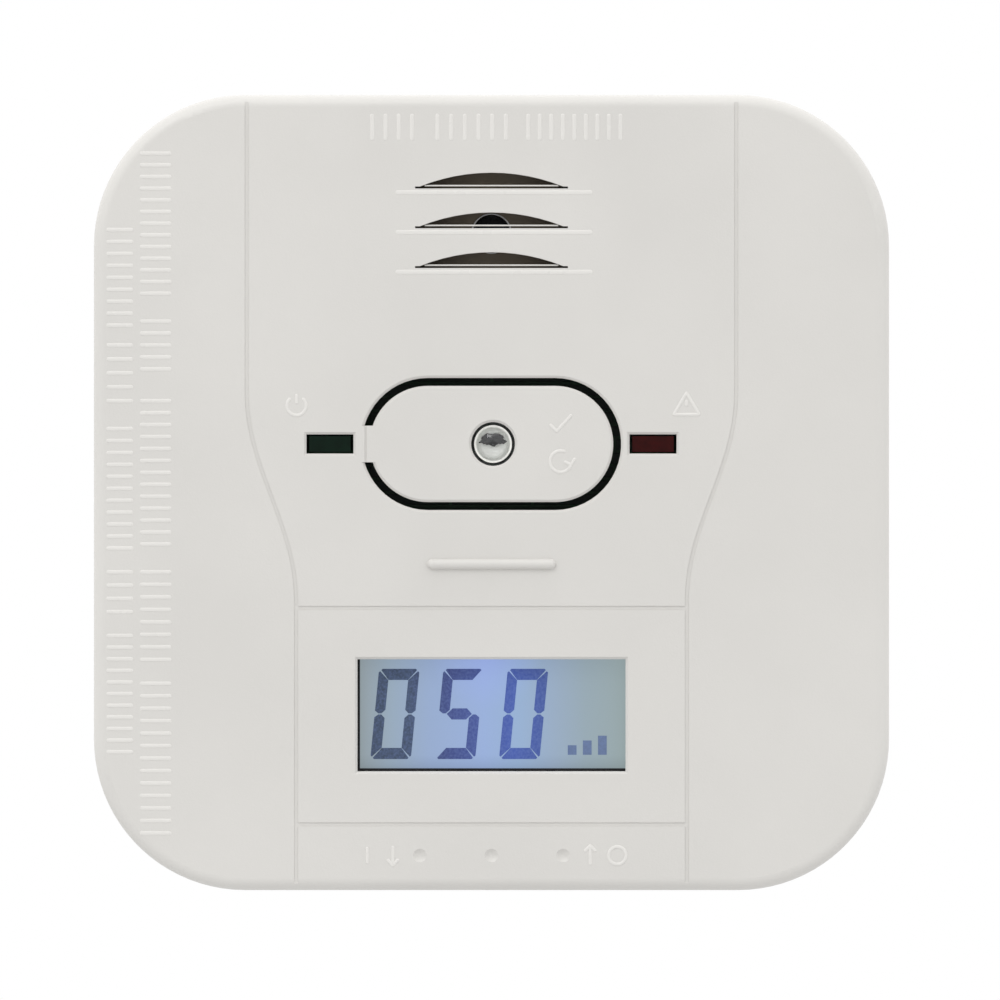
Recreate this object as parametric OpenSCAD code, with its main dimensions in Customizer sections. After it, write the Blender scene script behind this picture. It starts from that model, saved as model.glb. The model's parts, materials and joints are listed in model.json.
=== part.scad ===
// Wall-mounted carbon monoxide detector with a digital readout.
// Every module is drawn lying on its back: X runs to the right, Y runs up the front face and Z runs
// from the wall (0) out to the front face. stand() then turns it upright, with the front towards -Y.

/* [Housing] */
// Width of the housing
body_w = 100; // [96:1:125]
// Height of the housing
body_h = 100; // [98:1:125]
// Corner radius, seen from the front
corner_r = 19; // [12:1:22]
// Rounding of the front edge
edge_r = 1.5; // [0.5:0.25:3]
// Wall thickness of the mouldings
wall = 2; // [1.6:0.1:2.6]
// Room between the circuit board and the front plate
front_room = 9; // [8.6:0.1:12]
// Depth of the back cover's side wall
back_depth = 12.5; // [11:0.5:14]
// How far the front cover overhangs the back cover
overhang = 1.2; // [0.6:0.1:1.5]
// Width of the shallow seam lines in the front face
seam_w = 0.5; // [0.3:0.1:0.8]
// Depth of the seam lines
seam_d = 0.12; // [0.08:0.02:0.4]
// Bevel round the windows and the test button
bevel = 0.3; // [0.15:0.05:0.5]
// Half distance between the seams at the top
seam_top_x = 30.75; // [28:0.25:34]
// Half distance between the seams beside the display
seam_low_x = 24.55; // [22:0.25:27]

/* [Wall bracket] */
// Width and height of the bracket plate
bracket_w = 84; // [82:1:92]
// Thickness of the bracket plate
plate_t = 2.2; // [1.8:0.1:3]
// Travel from locked to free
bracket_travel = 6; // [5.5:0.5:8]
// Radius of the wall screw holes
wall_screw_r = 2.1; // [1.6:0.1:2.6]
// Distance between the two round wall screw holes
wall_screw_span = 72; // [70:1:74]
// Radius of a keyhole's large end
keyhole_r = 3.8; // [3:0.1:4.2]

/* [Batteries] */
// Diameter of one cell
cell_d = 14.3; // [10:0.1:17.5]
// Length of one cell, button included
cell_l = 50.2; // [44:0.1:51]
// Space that a compressed contact spring takes
spring_l = 4.9; // [4:0.1:6]
// Thickness of the battery door
door_t = 1.8; // [1.4:0.1:2.4]

/* [Test button] */
// Length of the button
button_w = 30.6; // [26:0.1:34]
// Height of the button
button_h = 14.6; // [12:0.1:16]
// Gap round the button
button_gap = 1; // [0.7:0.1:1.3]
// Height of the neck that carries the button
neck_h = 4.6; // [3:0.1:6]
// Angle that the button turns through when it is pressed
press_deg = 1.5; // [0.8:0.1:2]

/* [Display] */
// Width of the display window
lcd_win_w = 33.7; // [28:0.1:40]
// Height of the display window
lcd_win_h = 14.1; // [12:0.1:17]
// Thickness of one glass sheet of the display
lcd_glass_t = 1.1; // [0.7:0.1:1.1]

/* [Sounder] */
// Diameter of the sounder
sounder_d = 27; // [22:0.5:27]
// Diameter of the sound hole
sound_hole_d = 4.7; // [3:0.1:8]
// Length of a louvre
louvre_w = 19.2; // [16:0.1:24]
// Height of the top louvre at its middle
louvre_h = 2; // [1.2:0.1:2.6]
// Distance from one louvre to the next
louvre_pitch = 5; // [4:0.1:6]

/* [Gas sensor] */
// Diameter of the gas sensor
sensor_d = 14; // [9:0.5:17]
// Height of the gas sensor
sensor_h = 12; // [8:0.5:15]

/* [Hidden] */
$fn = 48;

clear = 0.15;          // running gap between neighbouring pieces
slip = 0.3;            // wider gap where a piece is dropped in by hand
cut = 1;               // how far a cutting tool runs past a face

// The stack, from the wall outwards.
back_z = plate_t + slip;                 // rear face of the housing
back_in = back_z + wall;                 // inner face of the rear wall
door_in = back_z + door_t;               // inner face of the battery door
cell_room = 0.4;                         // free space round a cell
cell_z = door_in + cell_room + cell_d / 2;
tray_floor_t = 1.4;
tray_in = cell_z + cell_d / 2 + cell_room;
tray_z = tray_in + tray_floor_t;         // front side of the battery tray
board_gap = 3.6;                         // for solder tails behind the board
board_t = 1.6;
board_z = tray_z + board_gap;            // rear face of the board
board_top = board_z + board_t;           // front face of the board
face_in = board_top + front_room;        // inner face of the front plate
body_d = face_in + wall;                 // front face
split_z = back_z + back_depth;           // where the two covers meet
lip_h = 2.5;
back_edge_r = 1.5;

// Battery compartment.
cell_pitch = cell_d + 0.7;
cell_count = 3;
contact_t = 0.4;
contact_bump = 0.6;
tray_wall = 1.5;
tray_y = -4;
tray_w = cell_l + spring_l + 2 * contact_t + contact_bump;      // inside
tray_h = cell_count * cell_pitch + 0.8;                         // inside
ledge = 1;
door_w = tray_w + 2 * ledge - 2 * clear;
door_low_y = tray_y - tray_h / 2 - ledge;                       // lower edge of the door's recess
door_top_y = tray_y + tray_h / 2 + ledge;
tab_w = 7;
tab_x = tray_w / 2 - 10;
tab_t = 1.2;
tab_root = 2.8;
tab_z = back_in + 0.1;                   // the tabs reach in behind the rear wall
tab_l = 2;
door_axis_y = door_low_y + clear + door_t / 2;       // the door turns on its rounded lower edge
door_axis_z = back_z + door_t / 2;
// the tabs' far corners swing this far
tab_reach = norm([tab_l + door_t / 2, tab_z + tab_t - door_axis_z]);
latch_w = 12;
latch_l = 9;
latch_slit = 0.8;
grip_r = 9;
grip_depth = 1.1;
rib_t = 1.2;
rib_x = 15;
contact_w = 10;
function cell_y(i) = tray_y + (1 - i) * cell_pitch;

// Bracket hooks.
bracket_r = 12;
window_w = door_w + 3;
window_low = door_low_y - 0.6;
window_top = door_top_y + bracket_travel + 0.6;
window_r = 3;
hook_x = (window_w / 2 + bracket_w / 2) / 2;
hook_w = 6;
hook_stem = 2.2;
hook_lip = 4.5;
hook_lip_t = 1.6;
hook_z = back_in + 0.25;
hang_gap = 0.05;
hook_margin = 1;                         // between the hooks' slots and the screw sleeves

// Housing screws, from the back into posts of the front cover.
post_r = 3.5;
post_x = body_w / 2 - wall - 10;
post_y = body_h / 2 - wall - 10;
post_z = back_in + 8;                    // the front cover's posts meet the back cover's sleeves here
sleeve_r = 4.2;
sleeve_in = post_y - sleeve_r - hook_margin;
// upper faces of the hooks' stems
hook_rows = [sleeve_in - hook_lip, -sleeve_in + hook_stem + bracket_travel + slip];
pilot_r = 1.25;
screw_head_r = 2.6;
screw_head_h = 2;
screw_floor = 2;                         // plastic under a screw's head
screw_l = 10;
screw_slack = 0.03;                      // keeps a screw's shank off its hole
drive_w = 0.7;
drive_d = 0.9;
keyhole_slot_r = 2;
keyhole_l = 5;
sink_r = 3.9;

// Circuit board.
board_w = body_w - 2 * wall - 12;
board_h = body_h - 2 * wall - 10;
board_screw_x = board_w / 2 - 5;
board_screw_ys = [12, -31];
board_post_r = 2.6;
board_pilot_r = 1;
board_screw_l = 6;
board_head_r = 2;
board_head_h = 1.4;
board_notch_x = board_w / 2 - post_x + post_r + 0.6;
board_notch_y = board_h / 2 - post_y + post_r + 0.6;
pin_r = 0.3;
pin_hole_r = 0.45;
pin_tail = 1.2;                          // how far a pin stands out behind the board

// Front features.
button_y = 6.1;
hinge_x = -(button_w / 2 + button_gap / 2);
hinge_gap = 0.3;
web_w = 1.4;
web_t = 0.4;
web_room = 0.05;
switch_at = [-7, button_y];
arm = switch_at[0] - hinge_x;
button_post_r = 1.6;
clear_led_x = 0.2;
clear_led_d = 5;
clear_led_flange = 0.45;
clear_led_h = 8.6;
clear_led_out = 0.3;                     // its dome stands proud of the face
led_hole_d = clear_led_d + 0.5;
led_x = 20.3;
led_w = 5.2;
led_h = 2;
led_l = 7;
led_win_w = led_w + 0.7;
led_win_h = led_h + 0.4;
led_inset = 0.4;
led_pitch = 2.54;
lcd_y = -28;
lcd_border = 3;                          // glass hidden behind the window's frame
lcd_contact = 2.2;                       // the ledge of the front glass that the rubber strip touches
lcd_glass_w = lcd_win_w + 2 * lcd_border;
lcd_glass_h = lcd_win_h + 2 * lcd_border;
lcd_wall = 1.4;
polariser_t = 0.2;
polariser_edge = 1;
gasket_t = 0.5;
gasket_shift = [0.3, 0.35];              // the gasket sits a little up and to the right
guide_t = 2.6;
guide_edge = 0.6;
front_glass_z = face_in - gasket_t - polariser_t - lcd_glass_t;
rear_glass_z = front_glass_z - lcd_glass_t;
guide_z = rear_glass_z - polariser_t - guide_t;
holder_floor_t = 1;
strip_t = 1.5;
backlight = [3, 1.2, 1.8];
seam_ys = [-14.5, -41.7];
bend_y = [12.5, -13.5];
louvre_y = 28.2;                         // straight lower edge of the lowest louvre
louvre_slit = 0.25;                     // height of a louvre at its two ends
sounder_y = louvre_y + louvre_pitch - 0.6;
sounder_wall = 1;
sounder_neck = 1.8;                      // room in front of the vibrating disc
gasket_ring_t = 0.8;
gasket_ring_w = 2.5;
sounder_top = face_in - gasket_ring_t;
disc_t = 0.25;
disc_z = sounder_top - sounder_wall - sounder_neck - disc_t;
ceramic_t = 0.2;
ceramic_r = 8;
sounder_pin_x = 5;
bar_w = 16.2;
bar_h = 1.3;
bar_y = -9;
dot_r = 0.85;
dot_d = 0.35;
dot_pitch = 9;
dot_y = -45.6;

// Switch.
switch_w = 6;
switch_h = 3.5;
plunger_r = 1.75;
plunger_top = board_top + 5;
shield_t = 0.3;
switch_travel = arm * tan(press_deg);
touch_gap = 0.05;                        // between the button's post and the plunger

// Parts on the board: [x, y].
sensor_at = [24, 33];
coil_at = [-24, 31];
coil_r = 4.2;
coil_h = 8;
cap_at = [[-15.5, 29], [-36, 23]];
cap_r = [3.15, 2.5];
cap_h = [9, 7];
mcu_at = [-31, -6];
mcu_w = 10;
amp_at = [31, -16];
amp_w = [4, 5];
chip_t = 1.6;
chip_lift = 0.15;
crystal_at = [-31, 17];
resistor_at = [for (i = [0:4]) [27 + 3 * i, 27], for (i = [0:4]) [-39 + 3 * i, -18]];
ceramic_at = [for (i = [0:3]) [27 + 3 * i, 22], for (i = [0:2]) [26 + 4 * i, -4]];
wire_r = 0.65;

leg_t = 0.15;
leg_w = 0.3;
leg_out = 0.9;

// Points of each wire, from its battery contact to its pad on the board.
terminal_z = tray_z + contact_t + wire_r;
wire_red_path = [
    [tray_w / 2 + 2.3, cell_y(0), terminal_z], [tray_w / 2 + 3.2, cell_y(0) + 0.2, terminal_z + 0.2],
    [tray_w / 2 + 4.4, cell_y(0) + 1, terminal_z + 0.8],
    [tray_w / 2 + 5.2, cell_y(0) + 2, terminal_z + 1.6],
    [tray_w / 2 + 5.4, cell_y(0) + 2.3, terminal_z + 2], [tray_w / 2 + 5.4, cell_y(0) + 2.3, board_z]];
wire_black_path = [for (p = wire_red_path) [-p[0], p[1] - cell_y(0) + cell_y(2), p[2]]];

module stand() {
    rotate([90, 0, 0]) children();
}

// A rectangle with round corners.
module rounded(w, h, r) {
    square([w - 2 * r, h], center = true);
    square([w, h - 2 * r], center = true);
    for (x = [-1, 1], y = [-1, 1])
        translate([x * (w / 2 - r), y * (h / 2 - r)]) circle(r);
}

module slab(w, h, r, z0, z1) {
    translate([0, 0, z0]) linear_extrude(z1 - z0) rounded(w, h, r);
}

module box(x, y, z) {
    translate([x[0], y[0], z[0]]) cube([x[1] - x[0], y[1] - y[0], z[1] - z[0]]);
}

module rod(at, r, z0, z1) {
    translate([at[0], at[1], z0]) cylinder(r = r, h = z1 - z0);
}

// A slab whose far edge is rounded all the way round.
module soft_slab(w, h, r, z0, z1, f) {
    slab(w, h, r, z0, z1 - f);
    slab(w - 2 * f, h - 2 * f, r - f, z1 - f, z1);
    translate([0, 0, z1 - f]) {
        for (a = [0, 180]) rotate(a) {
            translate([w / 2 - f, -(h / 2 - r), 0]) rotate([90, 0, 180]) mirror([1, 0, 0])
                linear_extrude(h - 2 * r) quarter(f);
            rotate(90) translate([h / 2 - f, -(w / 2 - r), 0]) rotate([90, 0, 180]) mirror([1, 0, 0])
                linear_extrude(w - 2 * r) quarter(f);
        }
        for (i = [0:3])
            translate([(i == 0 || i == 3 ? 1 : -1) * (w / 2 - r), (i < 2 ? 1 : -1) * (h / 2 - r), 0])
                rotate(90 * i) rotate_extrude(angle = 90) translate([r - f, 0]) quarter(f);
    }
}

module quarter(f) {
    intersection() {
        circle(f);
        square(f);
    }
}

// A round-ended strip of length w and height h.
module strip(w, h) {
    square([w - h, h], center = true);
    for (x = [-1, 1]) translate([x * (w - h) / 2, 0]) circle(h / 2);
}

// A tube of radius r with n sides, swept along the points of path.
function unit(v) = v / norm(v);
function heading(path, i) = unit(path[min(i + 1, len(path) - 1)] - path[max(i - 1, 0)]);
function ring(p, t, up, r, n) =
    let(a = unit(cross(t, up)), b = cross(t, a))
    [for (i = [0:n - 1]) p + r * (cos(360 * i / n) * a + sin(360 * i / n) * b)];

module tube(path, r, n, up) {
    last = (len(path) - 1) * n;
    points = [for (i = [0:len(path) - 1]) each ring(path[i], heading(path, i), up, r, n)];
    sides = [for (i = [0:len(path) - 2], j = [0:n - 1]) let(a = i * n + j, b = i * n + (j + 1) % n)
        each [[a, b, b + n], [a, b + n, a + n]]];
    near = [for (j = [0:n - 1]) n - 1 - j];
    far = [for (j = [0:n - 1]) last + j];
    polyhedron(points, concat([near], sides, [far]));
}

module each_corner(x, y) {
    for (i = [-1, 1], j = [-1, 1]) translate([i * x, j * y, 0]) children();
}

module screw(head_r, head_h, shank_r, l) {
    difference() {
        cylinder(r = head_r, h = head_h);
        for (a = [0, 90]) rotate(a)
            translate([-head_r * 0.6, -drive_w / 2, -cut]) cube([head_r * 1.2, drive_w, drive_d + cut]);
    }
    translate([0, 0, head_h]) cylinder(r = shank_r, h = l - 1);
    translate([0, 0, head_h + l - 1]) cylinder(r1 = shank_r, r2 = 0.3, h = 1);
}

// ---- Wall bracket ----

module hook_profile() {
    polygon([[0, 0], [hook_stem, 0], [hook_stem, hook_z], [hook_stem + hook_lip, hook_z],
        [hook_stem + hook_lip, hook_z + hook_lip_t], [0, hook_z + hook_lip_t]]);
}

module hook(x, top) {
    translate([x - hook_w / 2, top - hook_stem, 0]) rotate([90, 0, 90])
        linear_extrude(hook_w) hook_profile();
}

module keyhole() {
    translate([0, 0, -cut]) cylinder(r = keyhole_r, h = plate_t + 2 * cut);
    translate([0, keyhole_l, -cut]) cylinder(r = keyhole_slot_r, h = plate_t + 2 * cut);
    box([-keyhole_slot_r, keyhole_slot_r], [0, keyhole_l], [-cut, plate_t + cut]);
}

module mounting_bracket() color("#efedea") stand() {
    difference() {
        slab(bracket_w, bracket_w, bracket_r, 0, plate_t);
        translate([0, (window_top + window_low) / 2, 0])
            slab(window_w, window_top - window_low, window_r, -cut, plate_t + cut);
        for (y = [-1, 1] * wall_screw_span / 2) {
            rod([0, y], wall_screw_r, -cut, plate_t + cut);
            translate([0, y, plate_t / 2])
                cylinder(r1 = wall_screw_r, r2 = sink_r, h = plate_t / 2 + 0.01);
        }
        for (x = [-hook_x, hook_x]) translate([x, -keyhole_l / 2, 0]) keyhole();
    }
    for (x = [-hook_x, hook_x], y = hook_rows) hook(x, y);
}

// ---- Housing ----

module vent_slots() {
    for (i = [-4:4], a = [0, 180]) rotate(a) translate([6 * i, 0, 0])
        box([-0.9, 0.9], [body_h / 2 - overhang - wall - cut, body_h / 2 + cut],
            [back_z + 3.5, split_z - 2.5]);
}

module hook_slots() {
    for (x = [-hook_x, hook_x], y = hook_rows)
        box([x - hook_w / 2 - slip, x + hook_w / 2 + slip],
            [y - hook_stem - bracket_travel - slip, y + hang_gap], [back_z - cut, back_in + cut]);
}

module cell_saddles() {
    difference() {
        for (x = [-rib_x, rib_x])
            box([x - rib_t / 2, x + rib_t / 2], [tray_y - tray_h / 2 - 0.5, tray_y + tray_h / 2 + 0.5],
                [cell_z + cell_d / 4, tray_in + 0.5]);
        for (i = [0:cell_count - 1])
            translate([-tray_w / 2, cell_y(i), cell_z]) rotate([0, 90, 0])
                cylinder(d = cell_d + 2 * clear, h = tray_w);
    }
}

// Slots in the tray's floor for the solder tabs of the two end contacts.
module tab_slots() {
    for (s = [1, -1]) mirror([s < 0 ? 1 : 0, 0, 0])
        box([tray_w / 2 - contact_t - clear, tray_w / 2 + clear],
            [cell_y(s > 0 ? 0 : 2) - 1.5 - clear, cell_y(s > 0 ? 0 : 2) + 1.5 + clear],
            [tray_in - 0.5, tray_z + cut]);
}

module back_shell() {
    w = body_w - 2 * overhang;
    h = body_h - 2 * overhang;
    r = corner_r - overhang;
    difference() {
        union() {
            translate([0, 0, back_z + split_z]) mirror([0, 0, 1])
                soft_slab(w, h, r, back_z, split_z, back_edge_r);
            slab(body_w - 2 * wall - 2 * clear, body_h - 2 * wall - 2 * clear, corner_r - wall - clear,
                split_z - 1, split_z + lip_h);
        }
        slab(w - 2 * wall, h - 2 * wall, r - wall, back_in, split_z + lip_h + cut);
        vent_slots();
    }
}

module back_cover() color("#e8e5e1") stand() {
    difference() {
        union() {
            back_shell();
            box([-tray_w / 2 - tray_wall, tray_w / 2 + tray_wall],
                [tray_y - tray_h / 2 - tray_wall, tray_y + tray_h / 2 + tray_wall],
                [back_in - 0.1, tray_z]);
            each_corner(post_x, post_y) cylinder_between(sleeve_r, back_in - 0.1, post_z);
        }
        box([-tray_w / 2, tray_w / 2], [tray_y - tray_h / 2, tray_y + tray_h / 2], [back_z - cut, tray_in]);
        box([-tray_w / 2 - ledge, tray_w / 2 + ledge], [door_low_y, door_top_y],
            [back_z - cut, door_in + clear]);
        for (x = [-tab_x, tab_x]) {
            box([x - tab_w / 2 - slip, x + tab_w / 2 + slip],
                [door_axis_y - tab_reach - slip, tray_y - tray_h / 2 + cut],
                [back_in, door_axis_z + tab_reach + slip]);
            box([x - tab_w / 2 - slip, x + tab_w / 2 + slip],
                [door_low_y, tray_y - tray_h / 2 + cut], [door_in, back_in + 0.1]);
        }
        tab_slots();
        hook_slots();
        each_corner(post_x, post_y) {
            cylinder_between(screw_head_r + slip, back_z - cut, post_z - screw_floor);
            cylinder_between(pilot_r + slip, back_z - cut, post_z + cut);
        }
    }
    cell_saddles();
}

module cylinder_between(r, z0, z1) {
    translate([0, 0, z0]) cylinder(r = r, h = z1 - z0);
}

// The front plate's seam lines: half the outline's distance from the middle at height y.
function seam_x(y) =
    let(t = (bend_y[0] - y) / (bend_y[0] - bend_y[1]), u = max(0, min(1, t)))
    seam_top_x - (seam_top_x - seam_low_x) * (1 - cos(180 * u)) / 2;

module seams() {
    steps = 14;
    ys = concat([body_h], [for (i = [0:steps]) bend_y[0] + (bend_y[1] - bend_y[0]) * i / steps], [-body_h]);
    translate([0, 0, body_d - seam_d]) {
        for (s = [-1, 1]) linear_extrude(seam_d + cut) polygon(concat(
            [for (y = ys) [s * (seam_x(y) - seam_w / 2), y]],
            [for (i = [len(ys) - 1:-1:0]) [s * (seam_x(ys[i]) + seam_w / 2), ys[i]]]));
        for (y = seam_ys) translate([-seam_low_x, y - seam_w / 2, 0])
            cube([2 * seam_low_x, seam_w, seam_d + cut]);
    }
}

// One louvre's opening: a low arch over a straight lower edge.
module louvre() {
    r = (pow(louvre_w / 2, 2) + pow(louvre_h, 2)) / (2 * louvre_h);
    translate([0, 0, face_in - cut]) linear_extrude(wall + 2 * cut) {
        intersection() {
            translate([0, louvre_h - r]) circle(r, $fn = 96);
            translate([-louvre_w / 2, 0]) square([louvre_w, louvre_h]);
        }
        translate([-louvre_w / 2, 0]) square([louvre_w, louvre_slit]);
    }
}

// A profile carried round the edge of a round-ended strip: x points outwards from the edge.
module along_strip(w, h) {
    for (s = [0, 180]) rotate(s) {
        translate([-(w - h) / 2, h / 2, 0]) rotate([90, 0, 90]) linear_extrude(w - h) children();
        translate([(w - h) / 2, 0, 0]) rotate(-90) rotate_extrude(angle = 180) translate([h / 2, 0]) children();
    }
}

// Widens the mouth of a hole by a bevel of size b.
module hole_bevel(b) {
    polygon([[-0.3, -b], [0, -b], [b + 0.2, 0.2], [-0.3, 0.2]]);
}

// Takes a bevel of size b off an outer edge.
module edge_bevel(b) {
    polygon([[-b - 0.2, 0.2], [0.2, -b - 0.2], [0.4, 0.2]]);
}

// A rectangular window through the front plate, with a bevelled mouth.
module window(w, h) {
    box([-w / 2, w / 2], [-h / 2, h / 2], [face_in - cut, body_d - bevel]);
    translate([0, 0, body_d]) intersection() {
        rotate([90, 0, 90]) linear_extrude(2 * w, center = true) window_side(h / 2);
        rotate([90, 0, 0]) linear_extrude(2 * h, center = true) window_side(w / 2);
    }
}

module window_side(half) {
    polygon([[-half, -bevel - 0.1], [half, -bevel - 0.1], [half, -bevel], [half + bevel + 0.2, 0.2],
        [-half - bevel - 0.2, 0.2], [-half, -bevel]]);
}

// Everything that passes through the front plate for the test button.
module button_opening() {
    w = button_w + 2 * button_gap;
    h = button_h + 2 * button_gap;
    difference() {
        union() {
            translate([0, button_y, face_in - cut]) linear_extrude(wall + 2 * cut) strip(w, h);
            translate([0, button_y, body_d]) along_strip(w, h) hole_bevel(bevel);
        }
        box([hinge_x - button_gap, hinge_x - hinge_gap / 2],
            [button_y - neck_h / 2, button_y + neck_h / 2], [face_in - 2 * cut, body_d + 2 * cut]);
    }
}

// A shallow round hollow of radius r and depth d, cut by a ball.
module dimple(r, d) {
    ball = (r * r + d * d) / (2 * d);
    translate([0, 0, ball - d]) sphere(ball, $fn = 64);
}

module grip_bar() {
    r = bar_h / 2;
    translate([0, bar_y, body_d]) {
        translate([-(bar_w / 2 - r), 0, 0]) rotate([0, 90, 0]) cylinder(r = r, h = bar_w - bar_h);
        for (s = [-1, 1]) translate([s * (bar_w / 2 - r), 0, 0]) sphere(r);
    }
}

module front_cover() color("#dbd8d5") stand() {
    difference() {
        union() {
            difference() {
                soft_slab(body_w, body_h, corner_r, split_z, body_d, edge_r);
                slab(body_w - 2 * wall, body_h - 2 * wall, corner_r - wall, split_z - cut, face_in);
            }
            each_corner(post_x, post_y) cylinder_between(post_r, post_z, face_in + 0.1);
            for (x = [-board_screw_x, board_screw_x], y = board_screw_ys)
                rod([x, y], board_post_r, board_top, face_in + 0.1);
        }
        each_corner(post_x, post_y) cylinder_between(pilot_r, post_z - cut, post_z + screw_l);
        for (x = [-board_screw_x, board_screw_x], y = board_screw_ys)
            rod([x, y], board_pilot_r, board_top - cut, board_top + board_screw_l - 1);
        button_opening();
        for (s = [-1, 1]) translate([s * led_x, button_y, 0]) window(led_win_w, led_win_h);
        translate([0, lcd_y, 0]) window(lcd_win_w, lcd_win_h);
        for (i = [0:2]) translate([0, louvre_y + i * louvre_pitch, 0]) louvre();
        seams();
        for (i = [-1:1]) translate([i * dot_pitch, dot_y, body_d]) dimple(dot_r, dot_d);
    }
    grip_bar();
}

module housing_screws() color("#b9bcc0") stand()
    each_corner(post_x, post_y) translate([0, 0, post_z - screw_floor - screw_head_h])
        screw(screw_head_r, screw_head_h, pilot_r - screw_slack, screw_l);

// The battery door: a plate with two tabs at its lower edge and a sprung tongue at its top edge.
module battery_door() color("#e4e1dd") stand() {
    top = door_top_y - clear;
    difference() {
        union() {
            box([-door_w / 2, door_w / 2], [door_axis_y, top], [back_z, door_in]);
            translate([-door_w / 2, door_axis_y, door_axis_z]) rotate([0, 90, 0])
                cylinder(d = door_t, h = door_w);
            for (x = [-tab_x, tab_x]) {
                box([x - tab_w / 2, x + tab_w / 2], [door_axis_y, door_axis_y + tab_root],
                    [door_in - 0.1, tab_z + tab_t]);
                box([x - tab_w / 2, x + tab_w / 2], [door_axis_y - door_t / 2 - tab_l, door_axis_y + 0.1],
                    [tab_z, tab_z + tab_t]);
            }
        }
        for (s = [-1, 1])
            box([s * latch_w / 2 - latch_slit / 2, s * latch_w / 2 + latch_slit / 2],
                [top - latch_l, top + cut], [back_z - cut, door_in + cut]);
        translate([0, top - latch_l / 2, back_z - grip_r + grip_depth]) rotate([0, 90, 0])
            cylinder(r = grip_r, h = latch_w - 3 * latch_slit, center = true, $fn = 96);
    }
}

// ---- Test button ----

module test_button() color("#dbd8d5") stand() {
    difference() {
        union() {
            translate([0, button_y, face_in]) {
                difference() {
                    linear_extrude(wall) strip(button_w, button_h);
                    translate([0, 0, wall]) along_strip(button_w, button_h) edge_bevel(bevel);
                }
                linear_extrude(wall) translate([hinge_x + hinge_gap / 2, -neck_h / 2])
                    square([button_h / 2, neck_h]);
            }
            rod(switch_at, button_post_r, plunger_top + touch_gap + button_post_r, face_in + 0.1);
            translate([switch_at[0], switch_at[1], plunger_top + touch_gap + button_post_r])
                sphere(button_post_r);
        }
        rod([clear_led_x, button_y], led_hole_d / 2, face_in - cut, body_d + cut);
        translate([clear_led_x, button_y, body_d - bevel])
            cylinder(r1 = led_hole_d / 2, r2 = led_hole_d / 2 + 2 * bevel, h = 2 * bevel);
    }
}

module button_hinge_web() color("#dbd8d5") stand()
    box([hinge_x - web_w / 2, hinge_x + web_w / 2], [button_y - neck_h / 2, button_y + neck_h / 2],
        [face_in - web_room - web_t, face_in - web_room]);

// ---- Batteries ----

module cell(i) {
    r = cell_d / 2;
    l = cell_l - 1;
    x = tray_w / 2 - contact_t - contact_bump;
    translate([0, cell_y(i), cell_z]) mirror([i == 1 ? 1 : 0, 0, 0])
        translate([x, 0, 0]) rotate([0, -90, 0]) rotate_extrude() polygon([
            [0, 0], [2.6, 0], [2.8, 0.2], [2.8, 1], [r - 0.5, 1], [r, 1.5], [r, l + 0.5], [r - 0.5, l + 1],
            [0, l + 1]]);
}

module cell_top() color("#3c7fb0") stand() cell(0);
module cell_middle() color("#3c7fb0") stand() cell(1);
module cell_bottom() color("#3c7fb0") stand() cell(2);

// A plate against the tray's right end wall that reaches from cell a to cell b, bumped for cell bump.
module end_plate(a, b, bump) {
    x = tray_w / 2 - contact_t;
    box([x, tray_w / 2], [cell_y(b) - contact_w / 2, cell_y(a) + contact_w / 2],
        [cell_z - contact_w / 2, cell_z + contact_w / 2]);
    if (bump >= 0) translate([x - contact_bump, cell_y(bump), cell_z]) rotate([0, 90, 0])
        cylinder(r = 2.2, h = contact_bump + 0.1);
}

// The strip that leads from an end plate through the tray's floor to the wire.
module solder_tab(i) {
    x = tray_w / 2 - contact_t;
    box([x, tray_w / 2], [cell_y(i) - 1.5, cell_y(i) + 1.5], [cell_z, tray_z + contact_t]);
    box([x, tray_w / 2 + 3], [cell_y(i) - 1.5, cell_y(i) + 1.5], [tray_z, tray_z + contact_t]);
}

module positive_contact() color("#c9ccd0") stand() {
    end_plate(0, 0, 0);
    solder_tab(0);
}

module negative_contact() color("#c9ccd0") stand() mirror([1, 0, 0]) {
    end_plate(2, 2, -1);
    solder_tab(2);
}

module left_bridge_contact() color("#c9ccd0") stand() mirror([1, 0, 0]) end_plate(0, 1, 1);
module right_bridge_contact() color("#c9ccd0") stand() end_plate(1, 2, 2);

// A conical spring on the right end wall: its wide end on the plate, its narrow end on the cell.
module contact_spring(i) {
    wire = 0.35;
    turns = 3.5;
    steps = 42;
    x0 = tray_w / 2 - contact_t - wire;
    length = spring_l - 2 * wire;
    path = [for (k = [0:steps]) let(u = k / steps, r = 4.4 - 2.2 * u)
        [x0 - length * u, cell_y(i) + r * cos(360 * turns * u), cell_z + r * sin(360 * turns * u)]];
    tube(path, wire, 6, [1, 0, 0]);
}

module contact_springs() color("#c9ccd0") stand() {
    mirror([1, 0, 0]) contact_spring(0);
    contact_spring(1);
    mirror([1, 0, 0]) contact_spring(2);
}

module wire_red() color("#b8201c") stand() tube(wire_red_path, wire_r, 8, [0, 1, 0.2]);
module wire_black() color("#202020") stand() tube(wire_black_path, wire_r, 8, [0, 1, 0.2]);

// ---- Circuit board and the parts on it ----

module pin_holes(points) {
    for (p = points) rod(p, pin_hole_r, board_z - cut, board_top + cut);
}

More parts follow.
